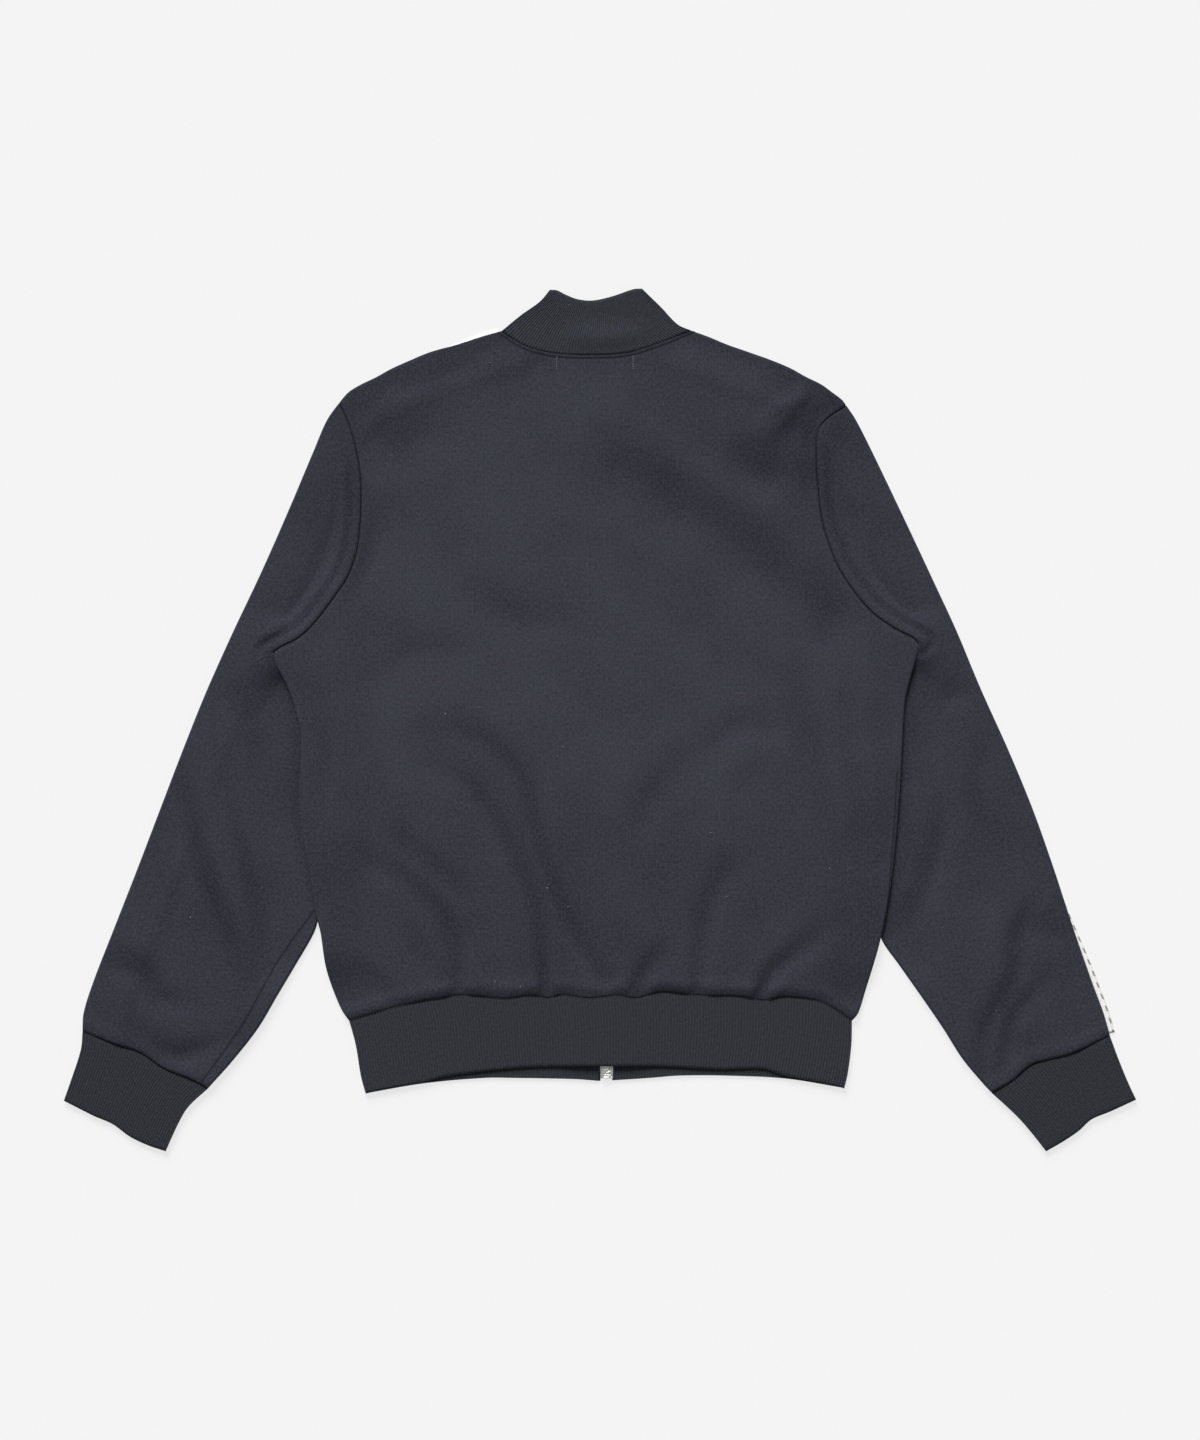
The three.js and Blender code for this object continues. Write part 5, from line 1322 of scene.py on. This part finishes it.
class JACKET_OT_back(PieceOperator, bpy.types.Operator):
    """Make the back panel with its creases"""
    bl_idname = "jacket.back"
    bl_label = "Back"

    def execute(self, context):
        upper, lower, plan = back_grids(self.sizes(context))
        lines = (NECK_BACK, ARMHOLE_LEFT, ARMHOLE_RIGHT, HEM_SEAM, SHOULDER_LEFT, SHOULDER_RIGHT)
        seam = np.minimum.reduce([distance(evenly(line, 60), plan) for line in lines])
        line = signed(evenly(SIDE_SEAM_RIGHT, 30), plan)
        rim = by_side(SIDE_LEFT, SIDE_RIGHT, plan)
        shoulder = by_side(SHOULDER_LEFT, SHOULDER_RIGHT, plan)
        # Painted shade: the colour is darker near the sides, the seams and the shoulders, towards the
        # bottom, and in the creases, puckers and broad dark places.
        painted_shade = (0.7 + 0.3 * smooth(0, 70, rim)) * (0.8 + 0.2 * smooth(0, 20, seam))
        painted_shade *= (1 - 0.42 * smooth(20, -190, plan[..., 1])) * (0.55 + 0.45 * smooth(10, 90, shoulder))
        painted_shade *= 1 - np.clip(painted_darkening(BACK_FOLDS, plan, 0.62), 0, 1)
        neck = distance(evenly(NECK_BACK, 60), plan)
        values = {"seam": seam, "topstitch": neck, "painted_shade": painted_shade, "line": 1.3 * line}
        piece = wall_piece("back_panel", upper, lower, surface(context, "jersey_knit"), plan, values=values)
        finish_piece(piece, ["back"])
        return {"FINISHED"}


class JACKET_OT_fronts(PieceOperator, bpy.types.Operator):
    """Make the two fronts, which lie underneath"""
    bl_idname = "jacket.fronts"
    bl_label = "Fronts"

    def execute(self, context):
        for side, is_left, area in (("left", True, 0.124), ("right", False, 0.115)):
            upper, lower, plan = front_grids(is_left)
            none = np.full(plan.shape[:2], FAR)
            piece = wall_piece(f"front_panel_{side}", upper, lower, surface(context, "jersey_knit"), plan,
                               values={"seam": none, "line": none})
            finish_piece(piece, [f"front_{side}"])
        return {"FINISHED"}


class JACKET_OT_sleeves(PieceOperator, bpy.types.Operator):
    """Make the two sleeves as flat tubes"""
    bl_idname = "jacket.sleeves"
    bl_label = "Sleeves"

    def execute(self, context):
        left = (ARMHOLE_LEFT, SIDE_LEFT, SLEEVE_LEFT_OUTER, SLEEVE_LEFT_INNER, CUFF_LEFT_SEAM, -1)
        right = (ARMHOLE_RIGHT, SIDE_RIGHT, SLEEVE_RIGHT_OUTER, SLEEVE_RIGHT_INNER, CUFF_RIGHT_SEAM, 1)
        for side, plan, folds, turn, underarm, area in (
            ("left", left, SLEEVE_LEFT_FOLDS, 16, UNDERARM_SEAM_LEFT, 0.113),
            ("right", right, SLEEVE_RIGHT_FOLDS, -16, None, 0.110),
        ):
            outer, inner = sleeve_rings(sleeve_plan(*plan), folds, self.sizes(context))
            xy = outer[..., :2]
            armhole, body, cuff = (distance(evenly(plan[k], n), xy) for k, n in ((0, 60), (1, 60), (4, 40)))
            seam = np.minimum(armhole, cuff)
            line = signed(evenly(underarm, 40), xy) if underarm else np.full(seam.shape, FAR)
            # Painted shade: the colour is darker near the seams, in a band beside the armhole, in the
            # creases, and beside the body's edge, where the body's shadow falls.
            painted_shade = (0.45 + 0.2 * smooth(0, 60, seam)) * (1 - 0.95 * beside_armhole(xy, armhole))
            painted_shade *= 1 - np.clip(painted_darkening(folds, xy, 0.9), 0, 1)
            painted_shade *= 0.55 + 0.45 * smooth(1, 14, body)
            piece = wall_piece(f"sleeve_tube_{side}", outer, inner, surface(context, "jersey_knit"),
                               turned(xy, turn), closed_from=ARMHOLE_ROWS,
                               values={"seam": seam, "painted_shade": painted_shade, "line": line})
            finish_piece(piece, [f"sleeve_{side}"])
        return {"FINISHED"}


class JACKET_OT_ribs(PieceOperator, bpy.types.Operator):
    """Make the collar, the hem band and the cuffs in rib knit"""
    bl_idname = "jacket.ribs"
    bl_label = "Collar, hem band and cuffs"

    def band(self, context, name, rings, node, flat, seam_line, painted_lighting):
        """A rib band from its rings. Its map runs along the ribs and across them."""
        outer, inner, rib = rings
        place = np.stack([along(outer, 1), along(outer, 0)], axis=-1)
        seam = distance(evenly(seam_line, 80), outer[..., :2])
        # The band's painted light is kept on its points, and makes its colour lighter.
        piece = wall_piece(name, outer, inner, surface(context, "rib_knit"), place,
                           values={"rib": rib, "seam": seam, "painted_lighting": np.full(seam.shape, painted_lighting)})
        finish_piece(piece, [node])

    def execute(self, context):
        sizes = self.sizes(context)
        pitch = sizes.rib_pitch / MM
        open_left = [COLLAR_TOP_LEFT[-1], NECK_FRONT_LEFT[-1]]
        open_right = [COLLAR_TOP_RIGHT[0], NECK_FRONT_RIGHT[0]]
        collar = band_rings(
            (COLLAR_TOP_BACK, NECK_BACK, COLLAR_LEFT_EDGE, COLLAR_RIGHT_EDGE),
            (COLLAR_TOP_LEFT, NECK_FRONT_LEFT, COLLAR_LEFT_EDGE, open_left),
            (COLLAR_TOP_RIGHT, NECK_FRONT_RIGHT, open_right, COLLAR_RIGHT_EDGE),
            round(length_of(NECK_BACK) / pitch), 26, 180,
            collar_height, sizes, False)
        self.band(context, "rib_collar", collar, "collar", (0.33, 0.05), NECK_BACK, 0.45)
        hem_left = curve(HEM_SEAM, np.linspace(0, HEM_LEFT_SHARE, 40))
        hem_right = curve(HEM_SEAM, np.linspace(HEM_RIGHT_SHARE, 1, 40))
        hem = band_rings(
            (HEM_SEAM, HEM_BACK_EDGE, HEM_LEFT_EDGE, HEM_RIGHT_EDGE),
            (hem_left, HEM_FRONT_LEFT, HEM_LEFT_EDGE, [hem_left[-1], HEM_FRONT_LEFT[-1]]),
            (hem_right, HEM_FRONT_RIGHT, [hem_right[0], HEM_FRONT_RIGHT[0]], HEM_RIGHT_EDGE),
            round(length_of(HEM_SEAM) / pitch), 14, 480,
            lambda xy: RIB_WALL + LAYER_GAP + 0.9 * zip_rise(xy), sizes, True)
        self.band(context, "rib_hem", hem, "hem_band", (0.86, 0.065), HEM_SEAM, 0.2)
        for side, parts in (
            ("left", (CUFF_LEFT_SEAM, CUFF_LEFT_END, CUFF_LEFT_OUTER, CUFF_LEFT_INNER, True)),
            ("right", (CUFF_RIGHT_SEAM, CUFF_RIGHT_END, CUFF_RIGHT_OUTER, CUFF_RIGHT_INNER, False)),
        ):
            outer, inner, rib = cuff_rings(*parts, sizes)
            place = np.stack([along(outer, 1), along(outer, 0)], axis=-1)
            seam = distance(evenly(parts[0], 60), outer[..., :2])
            piece = wall_piece(f"rib_cuff_{side}", outer, inner, surface(context, "rib_knit"), place,
                               closed_from=0, values={"rib": rib, "seam": seam})
            finish_piece(piece, [f"cuff_{side}"])
        return {"FINISHED"}


class JACKET_OT_tapes(PieceOperator, bpy.types.Operator):
    """Make the white tapes under the shoulders and the sleeves' outer sides"""
    bl_idname = "jacket.tapes"
    bl_label = "Shoulder tapes"

    def execute(self, context):
        for side, parts in (
            ("left", (SHOULDER_LEFT[::-1], SLEEVE_LEFT_OUTER, 1, tape_slip_left)),
            ("right", (SHOULDER_RIGHT, SLEEVE_RIGHT_OUTER, -1, tape_slip_right)),
        ):
            upper, lower, place = tape_grids(*parts)
            across = place[..., 0] + (0 if side == "right" else FAR)
            piece = wall_piece(f"shoulder_tape_{side}", upper, lower, surface(context, "shoulder_tape"),
                               place, values={"across": across})
            finish_piece(piece, [f"tape_{side}"])
        return {"FINISHED"}


def end_box_grids():
    """The metal box at the zip's end: a plate with rounded edges, a raised rim on its left, and slots
    pressed into it, each as deep as a bell curve of the distance from its line."""
    x = np.linspace(BOX_LEFT, BOX_RIGHT, 57)[None] + np.zeros((57, 1))
    y = np.linspace(ZIP_BOTTOM, ZIP_BOTTOM - BOX_LONG, 57)[:, None] + np.zeros((1, 57))
    plan = np.stack([x, y], axis=-1)
    from_ends = np.minimum(ZIP_BOTTOM - y, y - ZIP_BOTTOM + BOX_LONG)
    edge = np.minimum(np.minimum(x - BOX_LEFT, BOX_RIGHT - x), from_ends)
    slots = sum(deep * np.exp(-((distance(line, plan) / 0.42) ** 2)) for deep, line in BOX_SLOTS)
    ridge = 0.25 * np.exp(-(((x - BOX_LEFT - 1.4) / 0.7) ** 2))
    top = BOX_TOP - roll(edge, 1.2, 1.0) - slots + ridge
    return raised(plan, top), raised(plan, np.full(x.shape, BOX_UNDER)), plan


class JACKET_OT_zip(PieceOperator, bpy.types.Operator):
    """Make the zip's tapes and teeth, and finish its metal parts"""
    bl_idname = "jacket.zip"
    bl_label = "Zip"

    def execute(self, context):
        half = COIL_WIDTH / 2
        spans = {"left": (ZIP_X - half - ZIP_TAPE_WIDTH, ZIP_X - half - SEAM_GAP),
                 "right": (ZIP_X + half + SEAM_GAP, ZIP_X + half + ZIP_TAPE_WIDTH)}
        for side, (x_from, x_to) in spans.items():
            upper, lower, plan = strip_grids(x_from, x_to, ZIP_TOP, 150, 6, lambda x, y: 0.6 + 0 * x)
            weave = surface(context, "zip_tape_weave")
            piece = wall_piece(f"woven_zip_tape_{side}", upper, lower, weave, plan)
            finish_piece(piece, [f"zip_tape_{side}"])
        upper, lower, plan = strip_grids(ZIP_X - half, ZIP_X + half, COIL_TOP, 1750, 8, coil_thickness)
        teeth = wall_piece("zip_teeth", upper, lower, surface(context, "zip_plastic"), plan)
        finish_piece(teeth, ["zip_coil"])
        metal = surface(context, "zip_metal")
        upper, lower, plan = end_box_grids()
        finish_piece(wall_piece("zip_end_box", upper, lower, metal, plan), ["zip_box"])
        for node in ("zip_slider", "zip_pull"):
            solid = bpy.data.objects.get(node)
            if solid is None:
                raise RuntimeError(f"no solid is named {node}")
            for slot in solid.material_slots:
                slot.material = metal
        return {"FINISHED"}


def stitch_grid(start, end, radius, height):
    """One stitch: a round thread along a straight run, lifted in a half sine and tapered at its ends."""
    rows, columns = 9, 8
    t = np.linspace(0, 1, rows)[:, None]
    a = np.linspace(0, 2 * math.pi, columns, endpoint=False)[None]
    start, end = np.asarray(start, float), np.asarray(end, float)
    run = end - start
    side = np.array([-run[1], run[0], 0]) / np.hypot(run[0], run[1])
    r = radius * np.sqrt(np.clip(1 - (2 * t - 1) ** 4, 0.02, 1))
    centre = start + t[..., None] * run + np.array([0, 0, 1]) * (height * np.sin(math.pi * t))[..., None]
    return centre + (r * np.cos(a))[..., None] * side + (r * np.sin(a))[..., None] * np.array([0, 0, 1])


def tube_set(name, tubes, material):
    """Many small closed tubes as one mesh: each grid's columns are joined round, and its ends closed
    by faces to a middle point."""
    points, faces, base = [], [], 0
    for grid in tubes:
        rows, columns = grid.shape[:2]
        ids = base + np.arange(rows * columns).reshape(rows, columns)
        ring = np.concatenate([ids, ids[:, :1]], axis=1)
        points.append(grid.reshape(-1, 3))
        faces.append(sheet_faces(ring))
        for row, flip in ((ring[0], True), (ring[-1], False)):
            k = np.arange(0, columns, 2)
            middle = np.full(len(k), base + rows * columns + (0 if flip else 1))
            cap = quads(row[k], row[k + 1], row[k + 2], middle)
            faces.append(cap[:, ::-1] if flip else cap)
        points.append(np.stack([grid[0].mean(axis=0), grid[-1].mean(axis=0)]))
        base += rows * columns + 2
    points = np.concatenate(points)
    return mesh_piece(name, points, np.concatenate(faces), material, points[:, :2])


class JACKET_OT_stitches(PieceOperator, bpy.types.Operator):
    """Sew the two short rows of tack stitches below the collar, and lay the lint"""
    bl_idname = "jacket.stitches"
    bl_label = "Tack stitches and lint"

    def top_of_back(self, context, xy):
        """The height of the back's upper face: what lies below it, two walls and the air between."""
        return under_body(xy) + 2 * CLOTH + air_under_back(xy, self.sizes(context).folds)

    def execute(self, context):
        tubes = []
        for x, top, bottom in TACK_ROWS:
            ends = np.linspace(top, bottom, TACKS_IN_ROW + 1)
            for a, b in zip(ends[:-1], ends[1:]):
                xy = np.array([[x, a - 0.2], [x + 0.15, b + 0.25]])
                z = self.top_of_back(context, xy)
                tubes.append(stitch_grid((*xy[0], z[0]), (*xy[1], z[1]), 0.28, 0.3))
        thread = surface(context, "thread")
        finish_piece(tube_set("tack_stitches", tubes, thread), [])
        flecks = []
        rng = np.random.default_rng(4)
        for x, y in LINT:
            angle = rng.uniform(0, math.pi)
            reach = rng.uniform(0.7, 1.3)
            step = np.array([math.cos(angle), math.sin(angle)]) * reach
            z = self.top_of_back(context, np.array([[x, y]]))[0] + 0.1
            start = (x - step[0], y - step[1], z)
            end = (x + step[0], y + step[1], z)
            flecks.append(stitch_grid(start, end, 0.2, 0.5))
        finish_piece(tube_set("lint", flecks, thread), [])
        return {"FINISHED"}


class JACKET_OT_stage(PieceOperator, bpy.types.Operator):
    """Lay the floor, hang the lights and set the camera straight above"""
    bl_idname = "jacket.stage"
    bl_label = "Floor, lights and camera"

    def execute(self, context):
        scene = context.scene
        light = scene.jacket_light
        mesh = bpy.data.meshes.new("floor")
        reach = FLOOR_REACH
        corners = [(-reach, -reach), (reach, -reach), (reach, reach), (-reach, reach)]
        mesh.from_pydata([(*corner, -FLOOR_DROP) for corner in corners], [], [(0, 1, 2, 3)])
        floor = bpy.data.objects.new("floor", mesh)
        scene.collection.objects.link(floor)
        paint = bpy.data.materials.new("floor_paint")
        paint.use_nodes = True
        shader = paint.node_tree.nodes["Principled BSDF"]
        shader.inputs["Base Color"].default_value = (*scene.jacket_colours.floor, 1)
        shader.inputs["Roughness"].default_value = 0.9
        shader.inputs["Specular IOR Level"].default_value = 0.0
        shader.inputs["Emission Color"].default_value = (1, 1, 1, 1)
        shader.inputs["Emission Strength"].default_value = light.floor_glow
        mesh.materials.append(paint)

        data = bpy.data.lights.new("key_light", "SUN")
        data.energy = light.key
        data.angle = light.softness
        lamp = bpy.data.objects.new("key_light", data)
        lamp.location = KEY_FROM
        lamp.rotation_mode = "QUATERNION"
        lamp.rotation_quaternion = Vector(KEY_FROM).to_track_quat("Z", "Y")
        scene.collection.objects.link(lamp)

        world = bpy.data.worlds.new("studio")
        world.use_nodes = True
        sky = world.node_tree.nodes["Background"]
        sky.inputs["Color"].default_value = (1, 1, 1, 1)
        sky.inputs["Strength"].default_value = light.fill
        scene.world = world
        scene.view_settings.view_transform = "Standard"

        camera = bpy.data.cameras.new("camera")
        camera.sensor_fit = "VERTICAL"
        camera.sensor_height = SENSOR
        camera.lens = SENSOR * CAMERA_HEIGHT / (PHOTO_ROWS * PIXEL)
        eye = bpy.data.objects.new("camera", camera)
        eye.location = (0, 0, CAMERA_HEIGHT)
        scene.collection.objects.link(eye)
        scene.camera = eye
        return {"FINISHED"}


class JACKET_PT_panel(bpy.types.Panel):
    """Lists the pieces and the settings"""
    bl_label = "Track jacket"
    bl_idname = "JACKET_PT_panel"
    bl_space_type = "VIEW_3D"
    bl_region_type = "UI"
    bl_category = "Jacket"

    def draw(self, context):
        """The settings in three boxes, then a button for each operator."""
        scene = context.scene
        for group in (scene.jacket_sizes, scene.jacket_colours, scene.jacket_light):
            box = self.layout.box()
            for name in group.__annotations__:
                box.prop(group, name)
        for operator in OPERATORS:
            self.layout.operator(operator.bl_idname)


SETTINGS = {"jacket_sizes": JacketSizes, "jacket_colours": JacketColours, "jacket_light": JacketLight}
OPERATORS = (JACKET_OT_stage, JACKET_OT_tapes, JACKET_OT_sleeves, JACKET_OT_fronts, JACKET_OT_zip,
             JACKET_OT_back, JACKET_OT_ribs, JACKET_OT_stitches)


def register():
    """Registers the classes and puts the settings on the scene."""
    for cls in (*SETTINGS.values(), *OPERATORS, JACKET_PT_panel):
        bpy.utils.register_class(cls)
    for name, cls in SETTINGS.items():
        setattr(bpy.types.Scene, name, bpy.props.PointerProperty(type=cls))


def unregister():
    """Takes the settings and the classes away again."""
    for name in SETTINGS:
        delattr(bpy.types.Scene, name)
    for cls in (JACKET_PT_panel, *reversed(OPERATORS), *SETTINGS.values()):
        bpy.utils.unregister_class(cls)


def main():
    """Makes everything in order."""
    register()
    bpy.ops.jacket.stage()
    bpy.ops.jacket.tapes()
    bpy.ops.jacket.sleeves()
    bpy.ops.jacket.fronts()
    bpy.ops.jacket.zip()
    bpy.ops.jacket.back()
    bpy.ops.jacket.ribs()
    bpy.ops.jacket.stitches()


if __name__ == "__main__":
    main()
